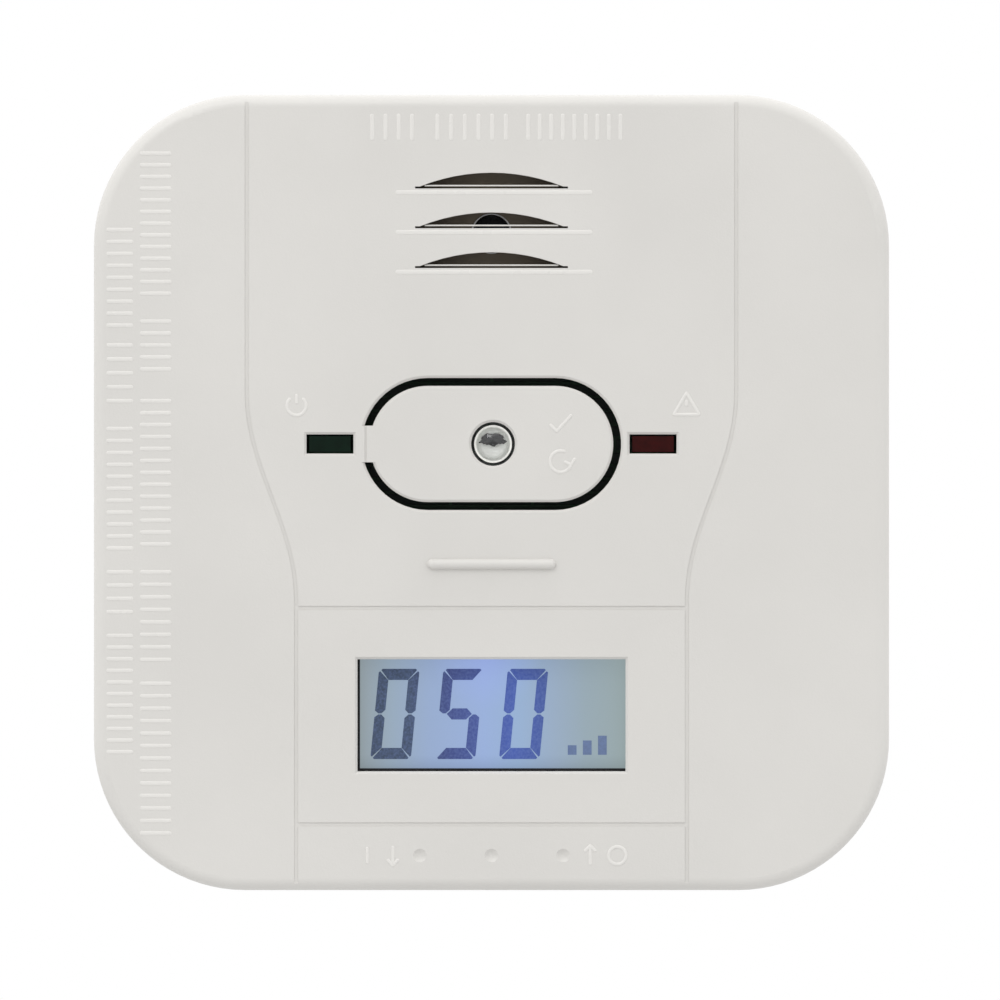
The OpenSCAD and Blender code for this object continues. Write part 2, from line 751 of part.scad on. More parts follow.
function led_feet(x) = [for (s = [-1, 1]) [x + s * led_pitch / 2, button_y]];
function sensor_feet() = [for (a = [90, 210, 330]) sensor_at + sensor_d * 0.3 * [cos(a), sin(a)]];
function sounder_feet() = [for (s = [-1, 1]) [s * sounder_pin_x, sounder_y]];
function switch_feet() =
    [for (x = [-1, 1] * (switch_w / 2 + pin_r + 0.02), y = [-2.25, 2.25]) switch_at + [x, y]];
function cap_feet(i) = [for (s = [-1, 1]) cap_at[i] + [s * cap_r[i] * 0.4, 0]];
function crystal_feet() = [for (s = [-1, 1]) crystal_at + [s * 2.44, 0]];
led_xs = [-led_x, clear_led_x, led_x];

module circuit_board() color("#1f6a3c") stand() {
    difference() {
        box([-board_w / 2, board_w / 2], [-board_h / 2, board_h / 2], [board_z, board_top]);
        each_corner(board_w / 2, board_h / 2)
            cube([2 * board_notch_x, 2 * board_notch_y, 4 * board_top], center = true);
        for (x = [-board_screw_x, board_screw_x], y = board_screw_ys)
            rod([x, y], board_pilot_r + slip, board_z - cut, board_top + cut);
        for (x = led_xs) pin_holes(led_feet(x));
        pin_holes(sensor_feet());
        pin_holes(sounder_feet());
        pin_holes(switch_feet());
        pin_holes(crystal_feet());
        for (i = [0:len(cap_at) - 1]) pin_holes(cap_feet(i));
    }
}

module board_screws() color("#b9bcc0") stand()
    for (x = [-board_screw_x, board_screw_x], y = board_screw_ys)
        translate([x, y, board_z - board_head_h])
            screw(board_head_r, board_head_h, board_pilot_r - screw_slack, board_screw_l);

module pins(points, z0, z1) {
    for (p = points) rod(p, pin_r, z0, z1);
}

// ---- Display ----

module centred(w, h, z0, z1, dy = 0) {
    box([-w / 2, w / 2], [lcd_y - h / 2 + dy, lcd_y + h / 2 + dy], [z0, z1]);
}

guide_w = lcd_win_w + 2 * guide_edge;
guide_h = lcd_win_h + 2 * guide_edge;

module lcd_front_polariser() color("#8d96a0") stand()
    centred(lcd_win_w + 2 * polariser_edge, lcd_win_h + 2 * polariser_edge,
        front_glass_z + lcd_glass_t, front_glass_z + lcd_glass_t + polariser_t);

module lcd_front_glass() color("#b9cdd6") stand()
    centred(lcd_glass_w, lcd_glass_h, front_glass_z, front_glass_z + lcd_glass_t);

module lcd_rear_glass() color("#b9cdd6") stand()
    centred(lcd_glass_w, lcd_glass_h - lcd_contact, rear_glass_z, front_glass_z, lcd_contact / 2);

module lcd_rear_polariser() color("#9fb2c8") stand()
    centred(guide_w, guide_h, rear_glass_z - polariser_t, rear_glass_z);

module lcd_light_guide() color("#cfe2ff") stand()
    centred(guide_w, guide_h, guide_z, guide_z + guide_t);

module lcd_gasket() color("#1c1c1e") stand() difference() {
    centred(lcd_glass_w, lcd_glass_h, face_in - gasket_t, face_in);
    translate([gasket_shift[0], 0, 0])
        centred(lcd_win_w, lcd_win_h, face_in - gasket_t - cut, face_in + cut, gasket_shift[1]);
}

strip_y = lcd_y - lcd_glass_h / 2 + lcd_contact / 2;
backlight_y = lcd_y + guide_h / 2 + clear;

module lcd_holder() color("#f2f2f0") stand() {
    floor_z = guide_z - holder_floor_t;
    pocket = 2 * clear;
    difference() {
        centred(lcd_glass_w + 2 * lcd_wall, lcd_glass_h + 2 * lcd_wall, board_top, front_glass_z + lcd_glass_t);
        centred(lcd_glass_w + pocket, lcd_glass_h + pocket, rear_glass_z, face_in);
        centred(guide_w + pocket, guide_h + pocket, guide_z, face_in);
        centred(lcd_glass_w - 2 * lcd_contact, lcd_glass_h - 4 * lcd_contact, board_top - cut, floor_z);
        box([-lcd_win_w / 2 - clear, lcd_win_w / 2 + clear],
            [strip_y - strip_t / 2 - clear / 2, strip_y + strip_t / 2 + clear / 2], [board_top - cut, face_in]);
        box([-backlight[0] / 2 - clear, backlight[0] / 2 + clear],
            [backlight_y - cut, backlight_y + backlight[1] + clear], [guide_z, face_in]);
    }
}

module lcd_rubber_strip() color("#4a4f55") stand()
    box([-lcd_win_w / 2, lcd_win_w / 2], [strip_y - strip_t / 2, strip_y + strip_t / 2],
        [board_top, front_glass_z]);

module backlight_led() color("#f4f7ff") stand()
    box([-backlight[0] / 2, backlight[0] / 2], [backlight_y, backlight_y + backlight[1]],
        [guide_z + (guide_t - backlight[2]) / 2, guide_z + (guide_t + backlight[2]) / 2]);

// ---- Indicator lights ----

led_z = body_d - led_inset - led_l;
clear_led_z = body_d + clear_led_out - clear_led_h;

module flat_led(x) {
    box([x - led_w / 2, x + led_w / 2], [button_y - led_h / 2, button_y + led_h / 2], [led_z, led_z + led_l]);
}

module led_green() color("#2a5c48") stand() flat_led(-led_x);
module led_red() color("#8a2420") stand() flat_led(led_x);

module led_clear() color("#d4d8dc") stand() {
    r = clear_led_d / 2;
    rod([clear_led_x, button_y], r + clear_led_flange, clear_led_z, clear_led_z + 1);
    rod([clear_led_x, button_y], r, clear_led_z, clear_led_z + clear_led_h - r);
    translate([clear_led_x, button_y, clear_led_z + clear_led_h - r]) sphere(r);
}

module led_leads() color("#c9ccd0") stand() {
    for (x = [-led_x, led_x]) pins(led_feet(x), board_z - pin_tail, led_z);
    pins(led_feet(clear_led_x), board_z - pin_tail, clear_led_z);
}

// ---- Test switch ----

module switch_body() color("#26272a") stand() difference() {
    box([switch_at[0] - switch_w / 2, switch_at[0] + switch_w / 2],
        [switch_at[1] - switch_w / 2, switch_at[1] + switch_w / 2], [board_top, board_top + switch_h - shield_t]);
    rod(switch_at, plunger_r + clear, board_top + 1, board_top + switch_h + cut);
}

module switch_shield() color("#b9bcc0") stand() difference() {
    box([switch_at[0] - switch_w / 2, switch_at[0] + switch_w / 2],
        [switch_at[1] - switch_w / 2, switch_at[1] + switch_w / 2],
        [board_top + switch_h - shield_t, board_top + switch_h]);
    rod(switch_at, plunger_r + clear, board_top, board_top + switch_h + cut);
}

module switch_plunger() color("#1b1c1e") stand()
    rod(switch_at, plunger_r, board_top + 1 + switch_travel + clear, plunger_top);

module switch_legs() color("#c9ccd0") stand() pins(switch_feet(), board_z - pin_tail, board_top + 1.5);

// ---- Sounder ----

module sounder_case() color("#3b332b") stand() difference() {
    rod([0, sounder_y], sounder_d / 2, board_top, sounder_top);
    rod([0, sounder_y], sounder_d / 2 - sounder_wall, board_top - cut, disc_z + disc_t);
    rod([0, sounder_y], sounder_d / 2 - 2 * sounder_wall, board_top - cut, sounder_top - sounder_wall);
    rod([0, sounder_y], sound_hole_d / 2, board_top, sounder_top + cut);
}

module sounder_base() color("#2c2723") stand() difference() {
    rod([0, sounder_y], sounder_d / 2 - sounder_wall - clear, board_top, disc_z);
    rod([0, sounder_y], sounder_d / 2 - 2 * sounder_wall - clear, board_top + 1.2, disc_z + cut);
    for (p = sounder_feet()) rod(p, pin_hole_r, board_top - cut, disc_z);
}

module sounder_gasket() color("#2a2a2c") stand() difference() {
    rod([0, sounder_y], sounder_d / 2, sounder_top, face_in);
    rod([0, sounder_y], sounder_d / 2 - gasket_ring_w, sounder_top - cut, face_in + cut);
}

module piezo_disc() color("#c8a24a") stand()
    rod([0, sounder_y], sounder_d / 2 - sounder_wall - clear, disc_z, disc_z + disc_t);

module piezo_ceramic() color("#e9e4d6") stand()
    rod([0, sounder_y], ceramic_r, disc_z - ceramic_t, disc_z);

module sounder_pins() color("#c9ccd0") stand() pins(sounder_feet(), board_z - pin_tail, board_top + 2.5);

// ---- Gas sensor, on the rear of the board above the batteries ----

sensor_top = board_z - 0.4;
sensor_low = sensor_top - sensor_h;

module sensor_can() color("#b7babd") stand() difference() {
    union() {
        rod(sensor_at, sensor_d / 2, sensor_low, sensor_top);
        rod(sensor_at, sensor_d / 2 + 0.6, sensor_top - 1, sensor_top);
    }
    rod(sensor_at, sensor_d / 2 - 0.6, sensor_low - cut, sensor_top - 1);
    for (p = sensor_feet()) rod(p, pin_hole_r, sensor_low, sensor_top + cut);
}

module sensor_cap() color("#d9dadb") stand() difference() {
    rod(sensor_at, sensor_d / 2, sensor_low - 0.8, sensor_low);
    for (a = [0:60:300])
        rod(sensor_at + sensor_d * 0.22 * [cos(a), sin(a)], 0.7, sensor_low - cut - 0.8, sensor_low + cut);
    rod(sensor_at, 0.7, sensor_low - cut - 0.8, sensor_low + cut);
}

module sensor_filter() color("#1e1e1e") stand()
    rod(sensor_at, sensor_d / 2 - 0.6 - clear, sensor_low, sensor_low + 2.5);

module sensor_pins() color("#c9ccd0") stand() pins(sensor_feet(), sensor_top - 2.5, board_top + pin_tail);

// ---- Smaller parts ----

coil_z = board_z - coil_h;

module boost_coil_core() color("#33363a") stand() {
    rod(coil_at, coil_r, coil_z, coil_z + 1.3);
    rod(coil_at, coil_r * 0.45, coil_z, board_z);
    rod(coil_at, coil_r, board_z - 1.3, board_z);
}

module boost_coil_winding() color("#a8602c") stand() difference() {
    rod(coil_at, coil_r - 0.4, coil_z + 1.3 + clear, board_z - 1.3 - clear);
    rod(coil_at, coil_r * 0.45 + clear, coil_z, board_z);
}

module capacitor(i) {
    r = cap_r[i];
    top = board_z - 0.3;
    low = top - cap_h[i];
    translate([cap_at[i][0], cap_at[i][1], 0]) rotate_extrude() polygon([
        [0, low], [r - 0.4, low], [r, low + 0.4], [r, top - 1.9], [r - 0.35, top - 1.6], [r - 0.35, top - 1.4],
        [r, top - 1.1], [r, top], [0, top]]);
    pins(cap_feet(i), top - 0.2, board_top + pin_tail);
}

module capacitors() color("#2b3350") stand() for (i = [0:len(cap_at) - 1]) capacitor(i);

module chip(at, w, h) {
    box([at[0] - w / 2, at[0] + w / 2], [at[1] - h / 2, at[1] + h / 2],
        [board_top + chip_lift, board_top + chip_lift + chip_t]);
}

module mcu_chip() color("#232427") stand() chip(mcu_at, mcu_w, mcu_w);
module amplifier_chip() color("#232427") stand() chip(amp_at, amp_w[0], amp_w[1]);

// A row of n bent legs along the right-hand side of a chip whose half width is x.
module leg_row(x, n, pitch) {
    z = chip_lift + chip_t / 2;
    for (i = [0:n - 1]) translate([x, (i - (n - 1) / 2) * pitch + leg_w / 2, board_top]) rotate([90, 0, 0])
        linear_extrude(leg_w) polygon([[0, z], [leg_out / 2, z], [leg_out / 2, leg_t], [leg_out, leg_t],
            [leg_out, 0], [leg_out / 2 - leg_t, 0], [leg_out / 2 - leg_t, z - leg_t], [0, z - leg_t]]);
}

module chip_legs() color("#c9ccd0") stand() {
    translate([mcu_at[0], mcu_at[1], 0]) for (a = [0:90:270]) rotate(a) leg_row(mcu_w / 2, 8, 1);
    translate([amp_at[0], amp_at[1], 0]) for (a = [0, 180]) rotate(a) leg_row(amp_w[0] / 2, 4, 1.27);
}

module crystal() color("#c3c6c9") stand() {
    translate([crystal_at[0], crystal_at[1], board_top + 0.3]) linear_extrude(3.4) strip(10.6, 4.4);
    pins(crystal_feet(), board_z - pin_tail, board_top + 0.4);
}

module blocks(points, w, h, t) {
    for (p = points)
        box([p[0] - w / 2, p[0] + w / 2], [p[1] - h / 2, p[1] + h / 2], [board_top, board_top + t]);
}

module small_resistors() color("#1d1e20") stand() blocks(resistor_at, 1.25, 2, 0.5);
module small_capacitors() color("#b79a74") stand() blocks(ceramic_at, 1.25, 2, 1);

mounting_bracket();
back_cover();
front_cover();
housing_screws();
battery_door();
test_button();
button_hinge_web();
cell_top();
cell_middle();
cell_bottom();
positive_contact();
negative_contact();
left_bridge_contact();
right_bridge_contact();
contact_springs();
wire_red();
wire_black();
circuit_board();
board_screws();
lcd_front_glass();
lcd_rear_glass();
lcd_front_polariser();
lcd_rear_polariser();
lcd_light_guide();
lcd_holder();
lcd_gasket();
lcd_rubber_strip();
backlight_led();
led_green();
led_red();
led_clear();
led_leads();
switch_body();
switch_shield();
switch_plunger();
switch_legs();
sounder_case();
sounder_base();
sounder_gasket();
piezo_disc();
piezo_ceramic();
sounder_pins();
sensor_can();
sensor_cap();
sensor_filter();
sensor_pins();
boost_coil_core();
boost_coil_winding();
capacitors();
mcu_chip();
amplifier_chip();
chip_legs();
crystal();
small_resistors();
small_capacitors();
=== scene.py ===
import json
import math

import bmesh
import bpy
import numpy as np
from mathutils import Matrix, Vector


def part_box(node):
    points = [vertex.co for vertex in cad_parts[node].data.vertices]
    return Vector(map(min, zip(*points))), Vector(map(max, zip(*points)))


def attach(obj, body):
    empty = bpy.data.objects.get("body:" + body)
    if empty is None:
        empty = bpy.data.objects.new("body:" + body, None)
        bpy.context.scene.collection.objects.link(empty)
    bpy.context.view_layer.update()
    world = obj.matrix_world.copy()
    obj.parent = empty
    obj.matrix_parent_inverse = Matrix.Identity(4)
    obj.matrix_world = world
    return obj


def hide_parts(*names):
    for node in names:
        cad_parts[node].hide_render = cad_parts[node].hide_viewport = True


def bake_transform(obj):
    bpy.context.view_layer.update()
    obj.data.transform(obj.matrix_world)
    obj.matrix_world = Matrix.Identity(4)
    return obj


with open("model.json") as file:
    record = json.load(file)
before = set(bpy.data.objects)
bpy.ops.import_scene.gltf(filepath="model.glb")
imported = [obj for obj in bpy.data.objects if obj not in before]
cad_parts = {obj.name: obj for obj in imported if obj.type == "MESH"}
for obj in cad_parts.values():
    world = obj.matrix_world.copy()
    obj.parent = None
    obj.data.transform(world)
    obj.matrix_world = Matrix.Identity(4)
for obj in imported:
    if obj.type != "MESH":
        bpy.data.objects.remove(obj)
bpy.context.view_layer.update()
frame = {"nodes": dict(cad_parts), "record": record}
nodes = frame["nodes"]
mm = 0.001
scene = bpy.context.scene
print("frame loaded:", len(nodes), "parts")


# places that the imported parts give, in millimetres: x to the right, z up, y into the wall
def boxMm(node):
    low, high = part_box(node)
    return np.array(low) / mm, np.array(high) / mm


faceY = boxMm("test_button")[0][1]        # the front face's plane
displayLow, displayHigh = boxMm("lcd_front_polariser")
clearLow, clearHigh = boxMm("led_clear")
caseLow, caseHigh = boxMm("sounder_case")
doorBack = boxMm("battery_door")[1][1]    # the battery door's rear face
webLow, webHigh = boxMm("button_hinge_web")
hingeX = (webLow[0] + webHigh[0]) / 2
displayMid = (displayLow + displayHigh) / 2
clearMid = (clearLow + clearHigh) / 2
caseMid = (caseLow + caseHigh) / 2

# camera, light and floor
studio = {
    "viewWidth": 125.63,                  # what the frame takes in at the front face, mm
    "aim": (1.07, -0.94),                 # the frame's middle on the face: x, z
    "distance": 1500.0,
    "floorDrop": 350.0,
    "floorSize": 6.0,                     # m
    "floorPaint": 0.62,
    "keyAt": (-0.55, -1.0, 1.15),         # m
    "keySize": (0.7, 0.5),                # m
    "keyPower": 4.0,                      # W
    "skyTop": 1.5,
    "skyLevel": 1.1,
    "skyLow": 0.5,
    "horizon": (0.44, 0.56),              # where the level part of the sky starts and ends, 0 down to 1 up
    "frontLevel": 0.35,                   # share of light left in front, where the camera stands in the dark
    "frontCone": (-0.99, -0.86),          # from the middle of that dark patch to its rim
}


def addCamera():
    data = bpy.data.cameras.new("productCamera")
    data.sensor_width = 36.0
    data.lens = data.sensor_width * studio["distance"] / studio["viewWidth"]
    data.clip_start = 0.05
    data.clip_end = 30.0
    camera = bpy.data.objects.new("productCamera", data)
    scene.collection.objects.link(camera)
    camera.location = (studio["aim"][0] * mm, (faceY - studio["distance"]) * mm, studio["aim"][1] * mm)
    camera.rotation_euler = (math.radians(90), 0, 0)
    scene.camera = camera


def addKeyLight():
    data = bpy.data.lights.new("keyLight", "AREA")
    data.shape = "RECTANGLE"
    data.size, data.size_y = studio["keySize"]
    data.energy = studio["keyPower"]
    softbox = bpy.data.objects.new("keyLight", data)
    scene.collection.objects.link(softbox)
    softbox.location = studio["keyAt"]
    toward = -softbox.location
    softbox.rotation_euler = toward.to_track_quat("-Z", "Y").to_euler()


def addSky():
    # light that brightens upwards and dims in a round patch in front
    world = bpy.data.worlds.new("studioSky")
    world.use_nodes = True
    tree = world.node_tree
    coords = tree.nodes.new("ShaderNodeTexCoord")
    split = tree.nodes.new("ShaderNodeSeparateXYZ")
    ramp = tree.nodes.new("ShaderNodeValToRGB")
    half = tree.nodes.new("ShaderNodeMapRange")
    back = tree.nodes["Background"]
    tree.links.new(coords.outputs["Generated"], split.inputs[0])
    half.inputs["From Min"].default_value = -1.0
    tree.links.new(split.outputs["Z"], half.inputs["Value"])
    tree.links.new(half.outputs[0], ramp.inputs[0])
    stops = ramp.color_ramp.elements
    stops[0].position, stops[1].position = 0.0, 1.0
    for place in studio["horizon"]:
        stops.new(place)
    levels = (studio["skyLow"], studio["skyLevel"], studio["skyLevel"], studio["skyTop"])
    for stop, level in zip(stops, levels):
        stop.color = (level, level, level, 1)
    front = tree.nodes.new("ShaderNodeMapRange")
    front.interpolation_type = "SMOOTHSTEP"
    front.inputs["From Min"].default_value, front.inputs["From Max"].default_value = studio["frontCone"]
    front.inputs["To Min"].default_value = studio["frontLevel"]
    tree.links.new(split.outputs["Y"], front.inputs["Value"])
    tree.links.new(ramp.outputs[0], back.inputs["Color"])
    tree.links.new(front.outputs[0], back.inputs["Strength"])
    # the backdrop itself is plain white, and the soft light above only reaches the object
    sheet = tree.nodes.new("ShaderNodeBackground")
    sheet.inputs["Color"].default_value = (1, 1, 1, 1)
    seen = tree.nodes.new("ShaderNodeLightPath")
    choose = tree.nodes.new("ShaderNodeMixShader")
    tree.links.new(seen.outputs["Is Camera Ray"], choose.inputs[0])
    tree.links.new(back.outputs[0], choose.inputs[1])
    tree.links.new(sheet.outputs[0], choose.inputs[2])
    tree.links.new(choose.outputs[0], tree.nodes["World Output"].inputs["Surface"])
    scene.world = world


def addFloor():
    half = studio["floorSize"] / 2
    z = -studio["floorDrop"] * mm
    mesh = bpy.data.meshes.new("paleFloor")
    corners = [(-half, -half, z), (half, -half, z), (half, half, z), (-half, half, z)]
    mesh.from_pydata(corners, [], [(0, 1, 2, 3)])
    floor = bpy.data.objects.new("paleFloor", mesh)
    scene.collection.objects.link(floor)
    paint = bpy.data.materials.new("paleFloor")
    paint.use_nodes = True
    shader = paint.node_tree.nodes["Principled BSDF"]
    shader.inputs["Base Color"].default_value = [studio["floorPaint"]] * 3 + [1]
    shader.inputs["Roughness"].default_value = 0.8
    mesh.materials.append(paint)


addCamera()
addSky()
addFloor()
addKeyLight()
scene.view_settings.view_transform = "Standard"
print("studio ready")


def srgb(red, green, blue):
    # screen colour, 0 to 255, as linear light
    c = np.array([red, green, blue]) / 255.0
    return tuple(np.where(c <= 0.04045, c / 12.92, ((c + 0.055) / 1.055) ** 2.4)) + (1.0,)


def newMaterial(name):
    made = bpy.data.materials.new(name)
    made.use_nodes = True
    tree = made.node_tree
    shader = tree.nodes["Principled BSDF"]
    coords = tree.nodes.new("ShaderNodeTexCoord")
    return made, tree, shader, coords.outputs["Object"]


def addNoise(tree, place, size, detail=3.0, stretch=(1, 1, 1)):
    # size is the width of one grain in mm; stretch makes grains longer along an axis
    turn = tree.nodes.new("ShaderNodeMapping")
    turn.inputs["Scale"].default_value = [1.0 / (size * mm * s) for s in stretch]
    noise = tree.nodes.new("ShaderNodeTexNoise")
    noise.inputs["Scale"].default_value = 1.0
    noise.inputs["Detail"].default_value = detail
    tree.links.new(place, turn.inputs["Vector"])
    tree.links.new(turn.outputs[0], noise.inputs["Vector"])
    return noise.outputs["Fac"]


def remap(tree, value, low, high, fromLow=0.3, fromHigh=0.7):
    node = tree.nodes.new("ShaderNodeMapRange")
    node.inputs["From Min"].default_value = fromLow
    node.inputs["From Max"].default_value = fromHigh
    node.inputs["To Min"].default_value = low
    node.inputs["To Max"].default_value = high
    tree.links.new(value, node.inputs["Value"])
    return node.outputs[0]


def mixColours(tree, factor, first, second):
    node = tree.nodes.new("ShaderNodeMix")
    node.data_type = "RGBA"
    for socket, value in ((node.inputs[6], first), (node.inputs[7], second)):
        if isinstance(value, tuple):
            socket.default_value = value
        else:
            tree.links.new(value, socket)
    tree.links.new(factor, node.inputs[0])
    return node.outputs[2]


def calculate(tree, operation, *values):
    # one Math node; each value is a number or another node's output
    node = tree.nodes.new("ShaderNodeMath")
    node.operation = operation
    for socket, value in zip(node.inputs, values):
        if isinstance(value, (int, float)):
            socket.default_value = value
        else:
            tree.links.new(value, socket)
    return node.outputs[0]


def addBump(tree, shader, heights, distance):
    # heights is a list of (value, weight); they add up to one relief
    total = 0.0
    for value, weight in heights:
        total = calculate(tree, "ADD", total, calculate(tree, "MULTIPLY", value, weight))
    bump = tree.nodes.new("ShaderNodeBump")
    bump.inputs["Strength"].default_value = 1.0
    bump.inputs["Distance"].default_value = distance * mm
    tree.links.new(total, bump.inputs["Height"])
    tree.links.new(bump.outputs[0], shader.inputs["Normal"])


def scaleColour(colour, amount):
    return tuple(min(1.0, c * amount) for c in colour[:3]) + (1.0,)


def mouldedPlastic(name, colour, roughness=0.42, grain=0.28, depth=0.012, mottle=0.02, specular=0.45):
    # fine spark-eroded grain, slow flow mottling in the colour, and patches of wear in the gloss
    made, tree, shader, place = newMaterial(name)
    fine = addNoise(tree, place, grain, 4.0)
    slow = addNoise(tree, place, 22.0, 2.0)
    patches = addNoise(tree, place, 5.0, 3.0)
    colours = mixColours(tree, remap(tree, slow, 0.0, 1.0), scaleColour(colour, 1 - mottle),
                         scaleColour(colour, 1 + mottle))
    tree.links.new(colours, shader.inputs["Base Color"])
    tree.links.new(remap(tree, patches, roughness - 0.05, roughness + 0.06), shader.inputs["Roughness"])
    shader.inputs["Specular IOR Level"].default_value = specular
    addBump(tree, shader, [(fine, 1.0), (patches, 0.5)], depth)
    return made


def platedMetal(name, colour, roughness=0.3, stretch=(1, 1, 8), grain=0.12, depth=0.004, tarnish=0.82):
    # drawn lines along one axis, and patches that are duller and a little darker
    made, tree, shader, place = newMaterial(name)
    lines = addNoise(tree, place, grain, 3.0, stretch)
    patches = addNoise(tree, place, 2.5, 4.0)
    colours = mixColours(tree, remap(tree, patches, 0.0, 1.0), colour, scaleColour(colour, tarnish))
    tree.links.new(colours, shader.inputs["Base Color"])
    tree.links.new(remap(tree, patches, roughness - 0.06, roughness + 0.12), shader.inputs["Roughness"])
    shader.inputs["Metallic"].default_value = 1.0
    addBump(tree, shader, [(lines, 1.0)], depth)
    return made


def softRubber(name, colour, roughness=0.85, cell=0.25, depth=0.05):
    # fine cells, with painted shade in their hollows and painted light on their walls
    made, tree, shader, place = newMaterial(name)
    cells = addNoise(tree, place, cell, 2.0)
    colours = mixColours(tree, remap(tree, cells, 0, 1), scaleColour(colour, 0.6), scaleColour(colour, 1.5))
    tree.links.new(colours, shader.inputs["Base Color"])
    shader.inputs["Roughness"].default_value = roughness
    shader.inputs["Specular IOR Level"].default_value = 0.25
    addBump(tree, shader, [(cells, 1.0)], depth)
    return made


def castEpoxy(name, colour, roughness=0.16, haze=0.25):
    # diffused epoxy: a deep body colour under a clear skin, with slight flow marks
    made, tree, shader, place = newMaterial(name)
    cloud = addNoise(tree, place, 1.2, 3.0)
    ripple = addNoise(tree, place, 0.7, 2.0)
    colours = mixColours(tree, remap(tree, cloud, 0, 1), scaleColour(colour, 1 - haze),
                         scaleColour(colour, 1 + haze))
    tree.links.new(colours, shader.inputs["Base Color"])
    shader.inputs["Roughness"].default_value = roughness
    shader.inputs["Specular IOR Level"].default_value = 0.25
    addBump(tree, shader, [(ripple, 1.0)], 0.01)
    return made


tracks = {"perMetre": 260, "line": 0.06, "lineSoft": 0.2, "long": 2.7, "row": 0.45}


def boardMask(name):
    # green solder mask: copper tracks show through as slightly raised, lighter lines
    made, tree, shader, place = newMaterial(name)
    flat = tree.nodes.new("ShaderNodeMapping")
    flat.inputs["Rotation"].default_value = (math.radians(90), 0, 0)
    flat.inputs["Scale"].default_value = [tracks["perMetre"]] * 3
    tree.links.new(place, flat.inputs["Vector"])
    bricks = tree.nodes.new("ShaderNodeTexBrick")
    bricks.inputs["Scale"].default_value = 1.0
    bricks.inputs["Mortar Size"].default_value = tracks["line"]
    bricks.inputs["Mortar Smooth"].default_value = tracks["lineSoft"]
    bricks.inputs["Brick Width"].default_value = tracks["long"]
    bricks.inputs["Row Height"].default_value = tracks["row"]
    tree.links.new(flat.outputs[0], bricks.inputs["Vector"])
    weave = addNoise(tree, place, 0.5, 2.0)
    green = mixColours(tree, remap(tree, weave, 0, 1), srgb(10, 44, 26), srgb(14, 54, 32))
    colours = mixColours(tree, bricks.outputs["Fac"], green, srgb(34, 84, 50))
    tree.links.new(colours, shader.inputs["Base Color"])
    shader.inputs["Roughness"].default_value = 0.3
    addBump(tree, shader, [(bricks.outputs["Fac"], 1.0), (weave, 0.2)], 0.03)
    return made


# where the cells' silver band and its thin yellow stripe lie, in mm from the cell's middle to the plus end
sleeve = {"bandAt": 12.8, "bandSoft": 0.2, "stripeFrom": 11.3, "stripeTo": 12.1, "stripeSoft": 0.1}


def cellSleeve(name, plusEnd):
    # a printed shrink sleeve: blue, silver at the plus end, bare steel on both end faces; plusEnd is 1 or -1
    made, tree, shader, place = newMaterial(name)
    parts = tree.nodes.new("ShaderNodeSeparateXYZ")
    tree.links.new(place, parts.inputs[0])

    def edgeAt(start, soft, low, high):
        ends = (plusEnd * start * mm, plusEnd * (start + soft) * mm)
        return remap(tree, parts.outputs["X"], low, high, *ends)

    band = edgeAt(sleeve["bandAt"], sleeve["bandSoft"], 0.0, 1.0)
    stripe = calculate(tree, "MULTIPLY", edgeAt(sleeve["stripeFrom"], sleeve["stripeSoft"], 0.0, 1.0),
                       edgeAt(sleeve["stripeTo"], sleeve["stripeSoft"], 1.0, 0.0))
    shade = tree.nodes.new("ShaderNodeNewGeometry")
    normal = tree.nodes.new("ShaderNodeSeparateXYZ")
    tree.links.new(shade.outputs["Normal"], normal.inputs[0])
    bare = remap(tree, calculate(tree, "ABSOLUTE", normal.outputs["X"]), 0.0, 1.0, 0.85, 0.95)
    flecks = addNoise(tree, place, 0.3, 3.0)
    blue = mixColours(tree, remap(tree, flecks, 0, 1), srgb(26, 74, 128), srgb(34, 86, 142))
    banded = mixColours(tree, band, blue, srgb(196, 198, 202))
    printed = mixColours(tree, stripe, banded, srgb(226, 190, 60))
    colours = mixColours(tree, bare, printed, srgb(200, 200, 204))
    tree.links.new(colours, shader.inputs["Base Color"])
    tree.links.new(bare, shader.inputs["Metallic"])
    shader.inputs["Roughness"].default_value = 0.28
    ripple = addNoise(tree, place, 3.0, 2.0, (3, 1, 1))
    addBump(tree, shader, [(ripple, 1.0)], 0.03)
    return made


def rampStops(ramp, stops):
    points = ramp.color_ramp.elements
    while len(points) < len(stops):
        points.new(0.5)
    for point, (place, colour) in zip(points, stops):
        point.position = place
        point.color = colour


def acrossDisplay(tree, place, stops):
    # a colour that changes from the left end of the display to the right, and the place's three parts
    parts = tree.nodes.new("ShaderNodeSeparateXYZ")
    tree.links.new(place, parts.inputs[0])
    half = litFilm["width"] / 2 * mm
    share = remap(tree, parts.outputs["X"], 0.0, 1.0, -half, half)
    ramp = tree.nodes.new("ShaderNodeValToRGB")
    rampStops(ramp, stops)
    tree.links.new(share, ramp.inputs[0])
    return ramp.outputs[0], parts


litFilm = {
    "width": 33.7,
    # the backlight's light painted across the film: bluest in the middle, greyer towards both ends
    "stops": [
        (0.0, srgb(150, 162, 167)), (0.13, srgb(152, 171, 190)), (0.27, srgb(152, 173, 208)),
        (0.47, srgb(154, 177, 220)), (0.6, srgb(152, 178, 212)), (0.73, srgb(153, 173, 197)),
        (0.85, srgb(152, 170, 181)), (1.0, srgb(154, 170, 172)),
    ],
    "glow": srgb(160, 180, 246),
    "glowAt": (-0.6, 7.6),                # from the display's middle: x, z
    "glowSize": 7.0,
    "glowShare": 0.6,                     # how strong the glow is in its middle
    "shade": 0.84,                        # brightness at the lower edge, a painted shadow of the window's rim on the sunken film
    "shadeFrom": -7.05,                   # and where it starts and ends, from the display's middle
    "shadeTo": -5.0,
    "lit": 0.74,                          # how much of the brightness is the lamp's
    "body": 0.22,                         # and how much is the film's own colour
}


